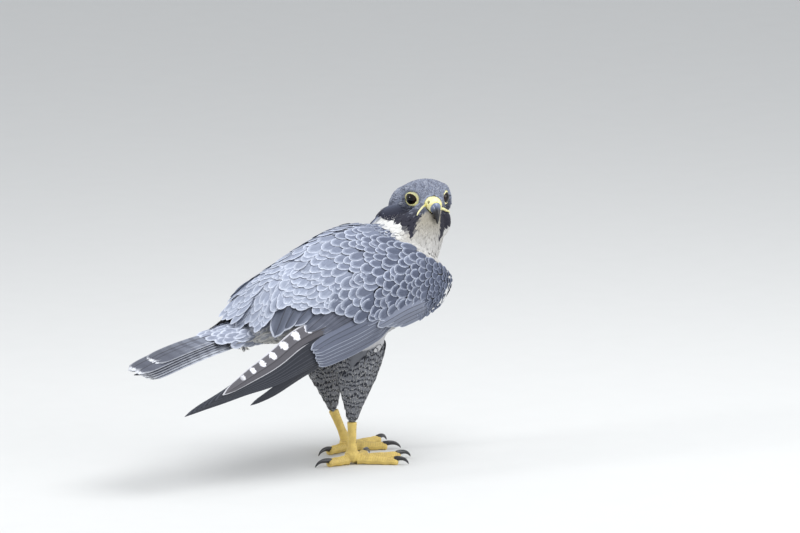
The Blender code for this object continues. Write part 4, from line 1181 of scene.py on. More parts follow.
def grow_on_skin(zone, shape, tries, stand_off, cover):
    """A coat piece on one part of the skin. cover leaves out what lies under the folded wings."""
    def weight(points):
        width, length = sizes_at(points)
        return (zone_of(points) == zone) / (width * length)

    roots, out = on_skin(tries, weight)
    keep = ~on_bare_face(roots, ROOT_CLEAR)
    if cover:
        keep &= ~under_wings(roots)
    roots, out = roots[keep], out[keep]
    lie = lie_at(roots, out)
    width, length = sizes_at(roots)
    picked = spread(roots, lie, GAP_ACROSS * width, GAP_ALONG * length)
    roots, out, lie, width, length = (a[picked] for a in (roots, out, lie, width, length))
    tips = on_bare_face(roots + lie * length[:, None], TIP_CLEAR)
    length = np.where(tips, length * TIP_SHORT, length)
    near_cloak = np.array([min((tree.find_nearest(Vector(p))[3] or 99) for tree in cloak_tree.values())
                           for p in roots])
    length = length * (1 - NEAR_SHORT * ease(*CLOAK_NEAR, near_cloak) * (roots[:, 0] > 30))
    for hand in (1, -1):
        high, reach, ring = round_eye(roots, hand)
        length = length * (1 - NEAR_SHORT * ease(*EYE_NEAR, reach - ring) * (high > -2))
    vary = RNG.uniform(0.9, 1.12, len(roots))
    marks = markings(roots + lie * length[:, None] * 0.6, RNG.uniform(-1, 1, len(roots)))
    run = on_trunk(roots)[0] * -TRUNK_LONG
    for side, sign in SIDE.items():
        run = np.where(thigh_side(roots) == sign, on_thigh(side, roots)[0] * THIGH_LONG, run)
    return lay_coat("coat_" + zone, shape, roots, out, lie, width * vary, length * vary, marks,
                    bake_place(roots), skin_tree, stand_off * length, run)


# Each row is the zone, the feather, how many places are tried, the tip's height as a share of the length,
# and whether the wings cover it
coat = [grow_on_skin(*row) for row in (
    ("face", "fine", 26000, 0.09, False),
    ("crown", "soft", 16000, 0.08, False),
    ("neck", "soft", 14000, 0.09, True),
    ("body", "soft", 14000, 0.09, True),
    ("thighs", "soft", 9000, 0.10, True),
    ("mantle", "round", 7000, 0.06, True),
)]

# %% [markdown]
# ## The cloak of the folded wings
# Over shoulder, back and upper wing lie the small coverts and the scapulars. They are planted on the wing's
# own skin, a little under it, from about 8 mm long at the shoulder to 25 mm on the back, and each has a dark
# heart and a pale fringe that give the back its scaled look.

# %% The small coverts, the scapulars and the back
CLOAK_SINK = 0.8
CLOAK_SIZES = [(-78, 10, 25), (-40, 11.4, 24), (0, 11.6, 22), (35, 10.8, 18.5), (60, 9, 15), (85, 6.8, 11),
               (103, 5, 8)]


def lie_on_wing(side, x, v):
    way = wing_point(side, x - PROBE_X, v) - wing_point(side, x + PROBE_X, v)
    up = wing_point(side, x, np.minimum(v + 0.02, 1.25)) - wing_point(side, x, np.minimum(v, 1.23) - 0.02)
    turn = 0.55 * ease(0.32, 0.02, v) * ease(40, 90, x)
    way = unit(way) + unit(up) * turn[:, None]
    return tangent(way, wing_out(side, x, v))


def wing_unwrap(x, v):
    return in_map(np.stack([(x + 240) / 350, v / 1.3], axis=1))


def grow_cloak(side, tries=14000):
    x = RNG.uniform(-114, 102, tries)
    v = RNG.uniform(0.0, 1.25, tries)
    keep = (x > cloak_back(v)) & (v < cloak_front(x))
    x, v = x[keep], v[keep]
    out = wing_out(side, x, v)
    roots = wing_point(side, x, v) - out * CLOAK_SINK
    lie = lie_on_wing(side, x, v)
    width, length = read_rows(CLOAK_SIZES, x).T
    small = 1 - 0.5 * ease(0.22, 0.04, v)
    width, length = width * small, length * small
    dense = 1 - 0.28 * ease(-10, -60, x)
    picked = spread(roots, lie, 0.60 * width * dense, 0.33 * length * dense)
    x, v, out, roots, lie, width, length = (a[picked] for a in (x, v, out, roots, lie, width, length))
    ground, heart, rim, strength = back_colours(x - 6, v)
    plain = ease(0.16, 0.05, v)
    hearts = strength * (1 - 0.75 * plain) * np.minimum(1, RNG.uniform(0.7, 1.15, len(x)))
    rim = mix(rim, ground, 0.6 * plain)
    vary = RNG.uniform(0.86, 1.14, len(x))
    return lay_coat("coat_wing_" + side, "round", roots, out, lie, width * vary, length * vary,
                    (ground, heart, rim, hearts, 0 * x), wing_unwrap(x, v), cloak_tree[side],
                    CLOAK_SINK + 0.008 * length)


coat += [grow_cloak(side) for side in SIDE]

# %% [markdown]
# ## Quills
# The long feathers of wing and tail are each a blade of their own, swept along a line on the wing's skin.
# The shaft lies nearer the leading edge, each blade is domed across, and it tilts like a shingle so that its
# lower edge lies over the feather below. Tiers are laid from the lowest to the highest.

# %% One long feather
QUILL_STATIONS = 26
QUILL_COLUMNS = (-1.0, -0.72, -0.42, -0.12, -0.04, 0.04, 0.12, 0.45, 0.75, 1.0)
QUILL_THICK, SHAFT_RISE = 0.45, 0.35
POINTED_LEAD, ROUND_LEAD = 0.36, 0.45
WING_CAMBER, TAIL_CAMBER = 1.3, 0.9
OUTLINES = {
    "round": [(0.0, 0.30), (0.12, 0.62), (0.30, 0.95), (0.70, 1.0), (0.88, 0.86), (0.96, 0.58), (1.0, 0.12)],
    "pointed": [(0.0, 0.45), (0.12, 0.85), (0.30, 1.0), (0.62, 0.88), (0.85, 0.55), (0.96, 0.27),
                (1.0, 0.05)],
    "blunt": [(0.0, 0.45), (0.30, 0.86), (0.72, 1.0), (0.90, 0.97), (0.97, 0.74), (1.0, 0.22)],
}


class Quills:
    """Gathers long feathers into one mesh, with the map and the colours of each."""

    def __init__(self, cells):
        self.points, self.faces, self.rows = [], [], []
        self.cells = cells

    def add(self, centres, across, outs, half, lead, camber, colours, marks):
        """lead is the share of the width on the side of -across."""
        columns = np.array(QUILL_COLUMNS)
        offset = columns * np.where(columns < 0, 2 * lead, 2 * (1 - lead))
        crown = (1 - columns**2) * camber + SHAFT_RISE * (np.abs(columns) < 0.08)
        top = (centres[:, None] + across[:, None] * (half[:, None] * offset)[..., None]
               + outs[:, None] * (half[:, None] * crown / 6)[..., None])
        under = top - outs[:, None] * (QUILL_THICK * (np.abs(columns) < 0.99))[None, :, None]
        rows, cols = top.shape[:2]
        start = sum(len(p) for p in self.points)
        low = rows * cols
        for j in range(start, start + cols - 1):
            for a in range(j, j + low - cols, cols):
                b = a + low
                self.faces += [(a, a + cols, a + cols + 1, a + 1), (b, b + 1, b + cols + 1, b + cols)]
            last = j + low - cols
            self.faces += [(j, j + 1, j + 1 + low, j + low), (last + low, last + low + 1, last + 1, last)]
        grid = np.stack(np.meshgrid(np.linspace(0, 1, rows), columns, indexing="ij"), axis=-1).reshape(-1, 2)
        grid = np.stack([grid[:, 1] / 2 + 0.5, grid[:, 0]], axis=1)
        grid = np.concatenate([grid, grid])
        cell = np.array([len(self.rows) % self.cells, len(self.rows) // self.cells])
        length = np.linalg.norm(np.diff(centres, axis=0), axis=1).sum()
        self.points.append(np.concatenate([top.reshape(-1, 3), under.reshape(-1, 3)]))
        self.rows.append((grid, (cell + 0.06 + 0.88 * grid) / self.cells, *colours,
                          (*marks[:2], RNG.random()), (*marks[2:], length / 100)))

    def build(self, name, finish):
        made = outwards(make_mesh(name, np.concatenate(self.points), self.faces))
        sizes = [len(points) for points in self.points]
        grids, places, *values = zip(*self.rows)
        give_uv(made.data, "feather", np.concatenate(grids))
        give_uv(made.data, "OFBake", np.concatenate(places))
        for key, each in zip(("ground", "rim", "heart", "marks", "more"), values):
            kind = "FLOAT_VECTOR" if key in ("marks", "more") else "FLOAT_COLOR"
            give(made.data, key, kind, np.repeat(np.array(each, float), sizes, axis=0))
        made.data.materials.append(finish)
        soften(made, 60)
        print(name, len(sizes), "feathers,", len(made.data.polygons), "faces")
        return made


# %% The finish of long feathers
def quill_finish():
    """marks: spots, bars, chance. more: rim strength, tip, length in decimetres.

    A tip above 0 gives a dark end with a pale edge, and one below 0 a dark middle.
    """
    f = Finish("quill", 0.58, specular=0.35, sheen=0.08)
    u, v, _ = f.split(f.map("feather"))
    spots, bars, chance = f.split(f.own("marks", "Vector"))
    rim_share, tip, length = f.split(f.own("more", "Vector"))
    dark_end, core = tip.at_least(0.0), (tip * -1.0).at_least(0.0)
    side = (u - 0.5) * 2.0
    aside = abs(side)
    wobble = f.noise(500.0) - 0.5
    phase = abs((v * (length * 6.9) + wobble * 0.4).fract() - 0.5)
    oval = (phase / 0.25) ** 2.0 + ((side - 0.52) / 0.46) ** 2.0 + v * 0.5
    dot = (1.0 - f.step(oval, 0.8, 1.3)) * spots * (f.step(v, 0.10, 0.13) - f.step(v, 0.80, 0.86))
    arc = (v * (length * 7.6) + aside**2.0 * 0.35).fract()
    bar = (1.0 - f.step(abs(arc + wobble * 0.2 - 0.5), 0.14, 0.27)) * bars
    past = ((v - 0.90) / 0.10).at_least(0.0)
    edge = (aside**2.0 + past**2.0).root() + wobble * 0.10
    colour = f.own("ground")
    for share, ink in ((bar, "heart"), (dot, "rim"), ((1.0 - f.step(aside, 0.35, 0.85)) * core, "heart"),
                       (f.step(v, 0.45, 0.92) * (dark_end * 0.85), "heart"),
                       (f.step(edge, 0.84, 0.95) * rim_share, "rim"),
                       (f.step(v + wobble * 0.04, 0.968, 0.985) * dark_end, "rim")):
        colour = f.blend(share, colour, f.own(ink))
    shaft = 1.0 - f.step(aside, 0.045, 0.085)
    colour = f.blend(shaft * 0.55, colour, (0.012, 0.012, 0.016))
    barbs = ((v * (length * 100.0) + aside * -6.0) * 9.0).sine() * 0.5 + 0.5
    stretched = f.add("ShaderNodeMapping", 0, ("Vector", f.map("feather")), ("Scale", (7.0, 55.0, 1.0)))
    streak = f.noise(1.0, 4.0, stretched)
    for low, high, by in ((0.95, 1.04, barbs), (0.90, 1.08, streak), (0.93, 1.07, chance)):
        colour = f.shade(colour, low, high, by)
    f.bump(barbs, 0.3, 0.0002)
    return f.done(colour)


QUILL = quill_finish()

# %% The tiers of the wing
INKS = {name: [paint(*ink) for ink in inks] for name, inks in {
    "primary": ((40, 43, 53), (96, 100, 112), (34, 36, 45)),
    "primary_top": ((86, 84, 90), (226, 226, 232), (52, 50, 54)),
    "secondary": ((90, 94, 109), (156, 161, 174), (62, 66, 80)),
    "tertial": ((108, 114, 131), (190, 195, 208), (72, 78, 94)),
    "covert": ((100, 106, 124), (176, 182, 197), (72, 78, 96)),
    "alula": ((124, 130, 148), (196, 202, 216), (90, 98, 116)),
}.items()}
# root and tip are x and v; width and lift in millimetres; marks are spots, bars, rim strength and pale tip.
# A pale tip below 0 darkens the feather's middle instead.
TIERS = [
    {"count": 1, "root": ((-30, 0.10), (-30, 0.10)), "tip": ((-150, 0.04), (-150, 0.04)), "width": (12, 12),
     "lift": (-9.2, -9.2), "shape": "pointed", "droop": 10.0, "ink": "primary", "marks": (0, 0, 0.3, 0)},
    {"count": 8, "root": ((-36, 0.06), (-32, 0.42)), "tip": ((-231, 0.40), (-190, 0.76)), "width": (14, 18),
     "lift": (-8.4, -2.6), "shape": "pointed", "bow": 1.4, "ink": "primary", "marks": (0, 0, 0.4, 0)},
    {"count": 6, "root": ((14, 0.40), (-4, 0.62)), "tip": ((-64, 0.42), (-84, 0.58)), "width": (12, 13),
     "lift": (-2.4, -1.4), "shape": "round", "ink": "secondary", "marks": (0, 0.25, 0.6, 0)},
    {"count": 5, "root": ((-8, 0.60), (-30, 0.92)), "tip": ((-72, 0.57), (-114, 0.86)), "width": (17, 19),
     "lift": (-2.6, -1.6), "shape": "round", "ink": "tertial", "marks": (0, 0, 0.8, -0.8), "emerge": 0.5},
    {"count": 7, "root": ((24, 0.06), (18, 0.34)), "tip": ((-72, 0.08), (-82, 0.38)), "width": (11, 12),
     "lift": (-3.4, -1.2), "shape": "round", "ink": "covert", "marks": (0, 0, 0.7, 0)},
    {"count": 4, "root": ((76, 0.08), (70, 0.26)), "tip": ((28, 0.09), (-4, 0.23)), "width": (11, 13),
     "lift": (-0.2, 0.6), "shape": "round", "ink": "alula", "marks": (0, 0, 0.8, 0)},
    {"count": 9, "root": ((24, 0.33), (-14, 0.66)), "tip": ((-20, 0.33), (-60, 0.64)), "width": (12, 13),
     "lift": (-0.9, -0.7), "shape": "round", "ink": "covert", "marks": (0, 0, 0.8, 0), "emerge": 0.7},
]
ROOT_SINK = 7.0
UNDER_CLOAK = 0.8
SHINGLE = 0.55


def between(pair, f):
    return np.asarray(pair[0], float) * (1 - f) + np.asarray(pair[1], float) * f


def outline(shape, t):
    """Half width along a feather, as a share of its widest."""
    return np.clip(read_rows(OUTLINES[shape], t)[:, 0], 0.02, 1.02)


def wing_line(side, tier, f, shift):
    t = np.linspace(0, 1, QUILL_STATIONS)
    root, tip = between(tier["root"], f), between(tier["tip"], f ** tier.get("bow", 1.0)) + (shift, 0)
    x, v = (root * (1 - t)[:, None] + tip * t[:, None]).T
    out = wing_out(side, x, v)
    lift = between(tier["lift"], f)
    height = lift - UNDER_CLOAK - (ROOT_SINK + lift) * (1 - ease(0, tier.get("emerge", 0.22), t))
    centre = wing_point(side, x, v) + out * height[:, None]
    centre[:, 2] -= tier.get("droop", 0.0) * t**2
    return t, centre, out


def grow_quills(side):
    quills = Quills(8)
    for tier in TIERS[side == "left":]:
        count = tier["count"]
        lines = [wing_line(side, tier, i / max(1, count - 1), RNG.uniform(-1.2, 1.2)) for i in range(count)]
        for i, (t, centre, out) in enumerate(lines):
            way = unit(np.gradient(centre, axis=0))
            high = unit(np.cross(out, way)) * SIDE[side]
            tilt = np.zeros(len(t))
            if count > 1:
                other = lines[i + 1][1] if i + 1 < count else lines[i - 1][1]
                space = np.abs(((other - centre) * high).sum(1))
                tilt = np.arcsin(np.clip(SHINGLE / np.maximum(space, 1.0), 0, 0.16))
            across = high * np.cos(tilt)[:, None] - out * np.sin(tilt)[:, None]
            flat = np.cross(way, across)
            flat = unit(flat * np.where((flat * out).sum(1) > 0, 1.0, -1.0)[:, None])
            half = between(tier["width"], i / max(1, count - 1)) / 2 * outline(tier["shape"], t)
            ink, marks = tier["ink"], tier["marks"]
            if ink == "primary" and count > 1 and i == count - 1:
                ink, marks = "primary_top", (1.0, 0, 0.7, 0)
            lead = POINTED_LEAD if tier["shape"] == "pointed" else ROUND_LEAD
            quills.add(centre, across, flat, half, lead, WING_CAMBER, INKS[ink], marks)
    return quills.build("wing_quills_" + side, QUILL)


wing_quills = {side: grow_quills(side) for side in SIDE}

# %% [markdown]
# ## The tail
# Six pairs of tail feathers, the middle pair on top. They are grey with dark bars that curve with the
# feather's edge, darker towards the end, and finished with a pale tip. Coverts lie over and under their
# roots.

# %% Tail feathers
TAIL_ROOT = np.array([-96.0, 0.0, 137.0])
TAIL_TIP = np.array([-252.0, -1.0, 113.5])
TAIL_ROLL = (16.0, 6.0)
TAIL_ARCH = 5.0
TAIL_PAIRS = 6
TAIL_HALF = (6.5, 11.0)
TAIL_ASIDE = ((1.0, 2.2), (11.0, 15.0))
TAIL_SHORT = (0.13, 0.0, 0.01, 0.02, 0.03, 0.05)
TAIL_START, TAIL_TOP, TAIL_STEP = 0.06, 3.4, 0.8
TAIL_LONG = 158.0
TAIL_MARKS = (0, 0.55, 0.3, 1.0)
TAIL_INK = (paint(116, 121, 135), paint(214, 216, 222), paint(70, 73, 86))
TAIL_EDGE_INK = (paint(172, 177, 188), paint(222, 224, 228), paint(104, 108, 122))


def tail_frame(t):
    """Places on the tail's middle line, with the ways to its left and up."""
    t = np.asarray(t, float)
    roll = np.radians(TAIL_ROLL[0] * (1 - t) + TAIL_ROLL[1] * t)[..., None]
    back = unit(TAIL_TIP - TAIL_ROOT)
    level = unit(np.cross(back, (0, 0, 1)))
    level = level if level[1] > 0 else -level
    left = unit(level * np.cos(roll) + np.array([0, 0, 1.0]) * np.sin(roll))
    up = unit(np.cross(left, back))
    up = up * np.where(up[..., 2:] > 0, 1.0, -1.0)
    centre = TAIL_ROOT + (TAIL_TIP - TAIL_ROOT) * t[..., None]
    centre = centre + np.array([0, 0, TAIL_ARCH]) * (4 * t * (1 - t))[..., None]
    return centre, left, up


def grow_tail():
    quills = Quills(4)
    t = np.linspace(0, 1, QUILL_STATIONS)
    for pair in reversed(range(TAIL_PAIRS)):
        for hand, later in ((1, 0), (-1, 1)):
            share = pair / (TAIL_PAIRS - 1)
            near, far = between(TAIL_ASIDE, share)
            end = 1.0 - TAIL_SHORT[pair]
            centre, left, up = tail_frame(TAIL_START + (end - TAIL_START) * t)
            layer = 2 * pair + later
            height = TAIL_TOP - layer * TAIL_STEP * (0.35 + 0.65 * np.minimum(1, t / 0.3))
            aside = hand * (near * (1 - t) + far * t)
            widen = np.minimum(1, t / 0.7)
            half = (TAIL_HALF[0] * (1 - widen) + TAIL_HALF[1] * widen) * outline("blunt", t)
            middle = centre + left * aside[:, None] + up * height[:, None]
            ink = TAIL_EDGE_INK if pair > 3 else TAIL_INK
            quills.add(middle, left * -hand, up, half, 0.5 - 0.16 * share, TAIL_CAMBER, ink, TAIL_MARKS)
    return quills.build("tail_feathers", QUILL)


tail_feathers = grow_tail()


# %% Coverts over and under the tail, and the rump between the wings
RUMP_FROM, RUMP_TO = -0.12, 0.36
RUMP_KEYS = (RUMP_FROM, 0.0, 0.12, 0.28, 0.50)
RUMP_WIDE, RUMP_TALL = (17, 17.5, 18.5, 17.5, 14), (10, 8.5, 6.6, 5.0, 4.4)


def on_rump(t, turn):
    """Places round the tail's root, with the way out."""
    centre, left, up = tail_frame(t)
    wide, tall = np.interp(t, RUMP_KEYS, RUMP_WIDE), np.interp(t, RUMP_KEYS, RUMP_TALL)
    tall = np.where(np.cos(turn) < 0, tall * 1.1 + 0.5, tall)
    out = unit(left * (np.sin(turn) / wide)[..., None] + up * (np.cos(turn) / tall)[..., None])
    return centre + left * (np.sin(turn) * wide)[..., None] + up * (np.cos(turn) * tall)[..., None], out


def grow_rump(tries=5000):
    t = RNG.uniform(RUMP_FROM, RUMP_TO, tries)
    turn = RNG.uniform(-math.pi, math.pi, tries)
    keep = (t < RUMP_TO - 0.12 * np.abs(np.sin(turn)) ** 2) & ((t > 0) | (np.abs(turn) < 1.9))
    t, turn = t[keep], turn[keep]
    roots, out = on_rump(t, turn)
    lie = tangent(np.tile(unit(TAIL_TIP - TAIL_ROOT), (len(t), 1)), out)
    beneath = np.abs(turn) > 1.7
    width, length = 10.0 - 3.0 * beneath, 20.0 - 7.0 * beneath
    picked = spread(roots, lie, 0.55 * width, 0.33 * length)
    roots, out, lie, width, length, turn, t = (a[picked] for a in (roots, out, lie, width, length, turn, t))
    over = np.cos(turn) > -0.2
    ground = np.where(over[:, None], COAT["rump"], COAT["belly"])
    rim = np.where(over[:, None], COAT["back_rim"], COAT["cheek"])
    heart = np.where(over[:, None], COAT["rump_bar"], COAT["bar"])
    hearts, bars = np.where(over, 0.85, 0.0), np.where(over, 0.0, 0.5)
    bake = np.stack([0.02 + (t + 0.12) * 1.9, turn / (2 * math.pi) + 0.5], axis=1)
    around = np.meshgrid(np.linspace(-0.16, 0.62, 40), np.linspace(-math.pi, math.pi, 41), indexing="ij")
    grid = on_rump(*around)[0]
    return lay_coat("coat_rump", "round", roots, out, lie, width, length, (ground, heart, rim, hearts, bars),
                    in_map(bake), tree_of_grid(grid, np.ones(grid.shape[:2], bool)),
                    0.012 * length, t * -TAIL_LONG)


coat.append(grow_rump())

# %% [markdown]
# ## Bill, cere and eyes
# The bill is one hooked horn, blue-grey at the root and black at the tip, which grows out of a yellow, waxy
# cere with a round nostril on each side. Each is a loft through the rows that the solids use, only finer.

# %% Lofts
def loft(name, sections, sides):
    """A closed tube through (centre, wide, high, half width, up, down)."""
    points, faces = [], []
    turn = np.linspace(0, 2 * math.pi, sides, endpoint=False)
    cos, sin = np.cos(turn), np.sin(turn)
    for centre, wide, high, half, up, down in sections:
        tall = np.where(sin > 0, up, down) * sin
        points.append(centre + np.outer(cos * half, wide) + np.outer(tall, high))
    count = len(sections)
    for i in range(count - 1):
        for k in range(sides):
            a, b = i * sides + k, i * sides + (k + 1) % sides
            faces.append((a, b, b + sides, a + sides))
    ends = [sections[0][0], sections[-1][0]]
    for end, i in ((0, 0), (1, count - 1)):
        for k in range(sides):
            faces.append((i * sides + k, i * sides + (k + 1) % sides, count * sides + end))
    return outwards(make_mesh(name, np.concatenate(points + [np.array(ends)]), faces))


BILL_ROWS = [
    (9, -2.5, 0, 10.0, 8.4, 7.0), (14, -2.5, 0, 8.6, 8.2, 6.8), (19.5, -2.6, -8, 6.4, 7.6, 6.2),
    (23.5, -4.6, -32, 4.7, 6.3, 5.2), (26.6, -8.0, -58, 3.3, 4.4, 4.0), (28.2, -12.0, -80, 2.2, 2.9, 2.8),
    (28.6, -15.4, -92, 1.3, 1.6, 1.6), (28.4, -17.8, -96, 0.45, 0.6, 0.6),
]
JAW_ROWS = [
    (0, -15.2, 8.0, 1.6, 2.6), (8, -13.6, 7.4, 2.3, 3.2), (15, -12.9, 5.8, 2.1, 3.2),
    (20.5, -12.9, 4.2, 1.7, 2.7), (24.3, -12.6, 2.2, 1.0, 1.3), (25.4, -12.5, 0.5, 0.3, 0.4),
]
CERE_ROW, TIP_ROW = 2.7, 7.0
NOSTRIL = np.array([19.0, 5.6, 1.5])


def bill_sections(first, last, count, swell=0.0):
    made = []
    for at in np.linspace(first, last, count):
        x, z, slope, half, up, down = between_rows(BILL_ROWS, at)
        lean = math.radians(slope)
        made.append((from_head((x, 0, z)), head_way((0, 1, 0)),
                     head_way((-math.sin(lean), 0, math.cos(lean))), half + swell, up + swell, down + swell))
    return made


# %% Finishes of horn, cere, skin and eye
def horn_finish(name, base):
    f = Finish(name, 0.32, specular=0.5, coat=0.35)
    share = f.own("down", "Fac")
    colour = f.blend(f.step(share, 0.25, 0.75), base, paint(24, 25, 30))
    streak = f.noise(420.0, 4.0)
    colour = f.shade(colour, 0.82, 1.12, streak)
    f.bump(streak, 0.12, 0.0003)
    return f.done(colour)


def wax_finish(name, base, dark):
    f = Finish(name, 0.46, specular=0.45)
    patch = f.noise(260.0, 3.0)
    colour = f.blend(f.step(patch, 0.35, 0.75), base, dark)
    # Painted shade: where the attribute pit is set, the nostrils' openings are painted dark brown for the
    # shade inside them
    colour = f.blend(f.own("pit", "Fac"), colour, paint(40, 34, 24))
    grain = f.cells(1500.0)
    colour = f.shade(colour, 0.9, 1.06, grain)
    f.shader.inputs["Subsurface Weight"].default_value = 0.12
    f.shader.inputs["Subsurface Radius"].default_value = (0.002, 0.0012, 0.0004)
    f.bump(grain, 0.25, 0.0002)
    return f.done(colour)


def eye_finish():
    f = Finish("eye", 0.05, specular=0.32)
    reach = f.own("down", "Fac")
    ring = f.blend(f.step(reach, 0.30, 0.36), (0.0015, 0.0012, 0.0012), (0.020, 0.010, 0.006))
    colour = f.blend(f.step(reach, 0.62, 0.80), ring, (0.006, 0.005, 0.005))
    return f.done(colour)


def claw_finish():
    f = Finish("claw", 0.3, specular=0.5, coat=0.3)
    streak = f.noise(500.0, 4.0)
    f.bump(streak, 0.15, 0.0003)
    return f.done(f.blend(streak, paint(22, 22, 25), paint(48, 47, 50)))


def scale_finish():
    f = Finish("scales", 0.5, specular=0.4)
    patch = f.noise(170.0, 3.0)
    groove = f.own("down", "Fac")
    colour = f.blend(f.step(patch, 0.3, 0.75), paint(226, 198, 112), paint(204, 176, 100))
    colour = f.blend((1.0 - groove) * 0.6, colour, paint(128, 98, 42))
    grain = f.cells(1300.0)
    colour = f.shade(colour, 0.9, 1.07, grain)
    f.bump(grain, 0.3, 0.0003)
    return f.done(colour)


HORN, JAW = horn_finish("horn", paint(120, 132, 160)), horn_finish("jaw", paint(214, 206, 152))
EYE, CLAW, SCALES = eye_finish(), claw_finish(), scale_finish()
CERE = wax_finish("cere", paint(240, 236, 186), paint(228, 216, 128))
LID = wax_finish("lid", paint(246, 242, 186), paint(234, 226, 150))


def dress(made, finish, angle=60):
    made.data.materials.clear()
    made.data.materials.append(finish)
    soften(made, angle)
    return made


# %% Upper and lower bill
upper = loft("bill_horn", bill_sections(CERE_ROW - 0.12, TIP_ROW, 44), 40)
at = to_head(points_of(upper))
give(upper.data, "down", "FLOAT", np.clip((at[:, 0] - 19) / 18 + (-2 - at[:, 2]) / 26, 0, 1))
dress(upper, HORN)

jaw_sections = []
for step in np.linspace(0, len(JAW_ROWS) - 1, 24):
    x, z, half, up, down = between_rows(JAW_ROWS, step)
    jaw_sections.append((from_head((x, 0, z)), head_way((0, 1, 0)), head_way((0, 0, 1)), half, up, down))
lower = loft("bill_under", jaw_sections, 28)
at = to_head(points_of(lower))
give(lower.data, "down", "FLOAT", np.clip((at[:, 0] - 16) / 12, 0, 1))
dress(lower, JAW)

# %% Cere with its nostrils, and the edge of the mouth
cere = loft("cere_wax", bill_sections(0.0, CERE_ROW + 0.05, 40, swell=0.35), 96)
at = to_head(points_of(cere))
out = read_points(cere, "normal") @ HEAD_TURN.T
dark = np.zeros(len(at))
for hand in (1, -1):
    away = np.linalg.norm(at - NOSTRIL * (1, hand, 1), axis=1)
    same = at[:, 1] * hand > 0
    pit = ease(1.9, 1.3, away) * same
    rim = np.exp(-((away - 2.3) / 0.55) ** 2) * same
    knob = ease(0.7, 0.3, away) * same
    # The painted shade of each nostril's opening, round its knob, kept as the attribute pit
    dark = np.maximum(dark, pit * (1 - knob))
    at = at + out * (-2.0 * pit + 0.28 * rim + 1.7 * knob)[:, None]
move_points(cere, from_head(at))
give(cere.data, "pit", "FLOAT", dark)
dress(cere, CERE)
gapes = []
for hand, side in ((1, "left"), (-1, "right")):
    ways = head_way((0.35, hand * 0.94, 0)), head_way((0, 0, 1))
    rows = [(middle, *ways, radius, radius * 0.8, radius * 0.8) for middle, radius in zip(*MOUTH[hand])]
    gapes.append(dress(loft("gape_" + side, rows, 20), CERE))

# %% Eyes and lids
EYE_RINGS, EYE_SPOKES, CORNEA = 40, 56, 0.35
# The section of the lid: share of the way from inner to outer edge, and height
LID_ROWS = [(-0.08, -0.9), (-0.03, 0.1), (0.05, 0.5), (0.16, 0.62), (0.28, 0.45), (0.42, 0.5), (0.58, 0.42),
            (0.76, 0.2), (0.90, -0.2), (1.0, -0.9), (0.9, -2.6), (0.3, -2.4)]
LID_OVER, LID_SPOKES = 0.5, 72


def make_eye(hand, side):
    """The eyeball: a sphere about the eye's axis, with a slightly fuller cornea."""
    axis = eye_axis(hand)
    up = np.array([0, 0, 1.0])
    wide = unit(np.cross(up, axis))
    turn = np.linspace(0, math.pi, EYE_RINGS)
    spoke = np.linspace(0, 2 * math.pi, EYE_SPOKES, endpoint=False)
    points = [eye_centre(hand) + axis * (EYE_RADIUS + CORNEA)]
    reach = [0.0]
    for a in turn[1:-1]:
        bulge = CORNEA * math.cos(min(a, math.pi / 2)) ** 4
        ring = (wide * np.cos(spoke)[:, None] + up * np.sin(spoke)[:, None]) * math.sin(a)
        points += list(eye_centre(hand) + (ring + axis * math.cos(a)) * (EYE_RADIUS + bulge))
        reach += [a / (math.pi / 2)] * EYE_SPOKES
    points.append(eye_centre(hand) - axis * EYE_RADIUS)
    reach.append(2.0)
    faces, last = [], len(points) - 1
    for k in range(EYE_SPOKES):
        m = (k + 1) % EYE_SPOKES
        faces.append((0, 1 + k, 1 + m))
        for i in range(EYE_RINGS - 3):
            a = 1 + i * EYE_SPOKES
            faces.append((a + k, a + EYE_SPOKES + k, a + EYE_SPOKES + m, a + m))
        a = 1 + (EYE_RINGS - 3) * EYE_SPOKES
        faces.append((a + k, last, a + m))
    made = outwards(make_mesh("eyeball_" + side, points, faces))
    give(made.data, "down", "FLOAT", np.clip(np.array(reach) * 0.9, 0, 1))
    return dress(made, EYE)


def make_lid(hand, side):
    """The bare yellow ring round the eye, wider towards the bill, with a thin rolled edge."""
    axis, up, middle = eye_axis(hand), np.array([0, 0, 1.0]), eye_centre(hand)
    wide = unit(np.cross(up, axis))
    wide = wide * np.sign(np.dot(wide, head_way((1, 0, 0))))
    spoke = np.linspace(0, 2 * math.pi, LID_SPOKES, endpoint=False)
    cos, sin = np.cos(spoke), np.sin(spoke)
    inner, outer = eye_ring(cos, sin)
    ball = np.sqrt(EYE_RADIUS**2 - inner**2)
    rows = []
    for share, rise in LID_ROWS:
        reach = inner + (outer - inner) * share
        ripple = 0.07 * np.sin(spoke * 30) * (0.2 < share < 0.85)
        height = ball + rise + ripple - 0.25 * (reach - inner)
        flat = middle + (wide * cos[:, None] + up * sin[:, None]) * reach[:, None]
        if rise > -2:
            for k in range(LID_SPOKES):
                hit = skin_tree.ray_cast(Vector(flat[k] + axis * 14), Vector(-axis), 16)[0]
                level = (np.array(hit) - middle) @ axis if hit else -9.0
                height[k] = max(height[k], level + LID_OVER + rise * share)
        rows.append(flat + axis * height[:, None])
    points = np.concatenate(rows)
    faces = []
    for i in range(0, len(points), LID_SPOKES):
        j = (i + LID_SPOKES) % len(points)
        for k in range(LID_SPOKES):
            m = (k + 1) % LID_SPOKES
            faces.append((i + k, i + m, j + m, j + k))
    return dress(outwards(make_mesh("lid_" + side, points, faces)), LID)


eyes = [make_eye(1, "left"), make_eye(-1, "right")]
lids = [make_lid(1, "left"), make_lid(-1, "right")]

# %% [markdown]
# ## Feet
# A falcon's toes are long and yellow, with soft pads under the joints and broad scutes along the top, and
# each ends in a black claw. The solids' toes are melted by fine voxels, and the scutes are pressed in by
# moving points, so that the light catches them.

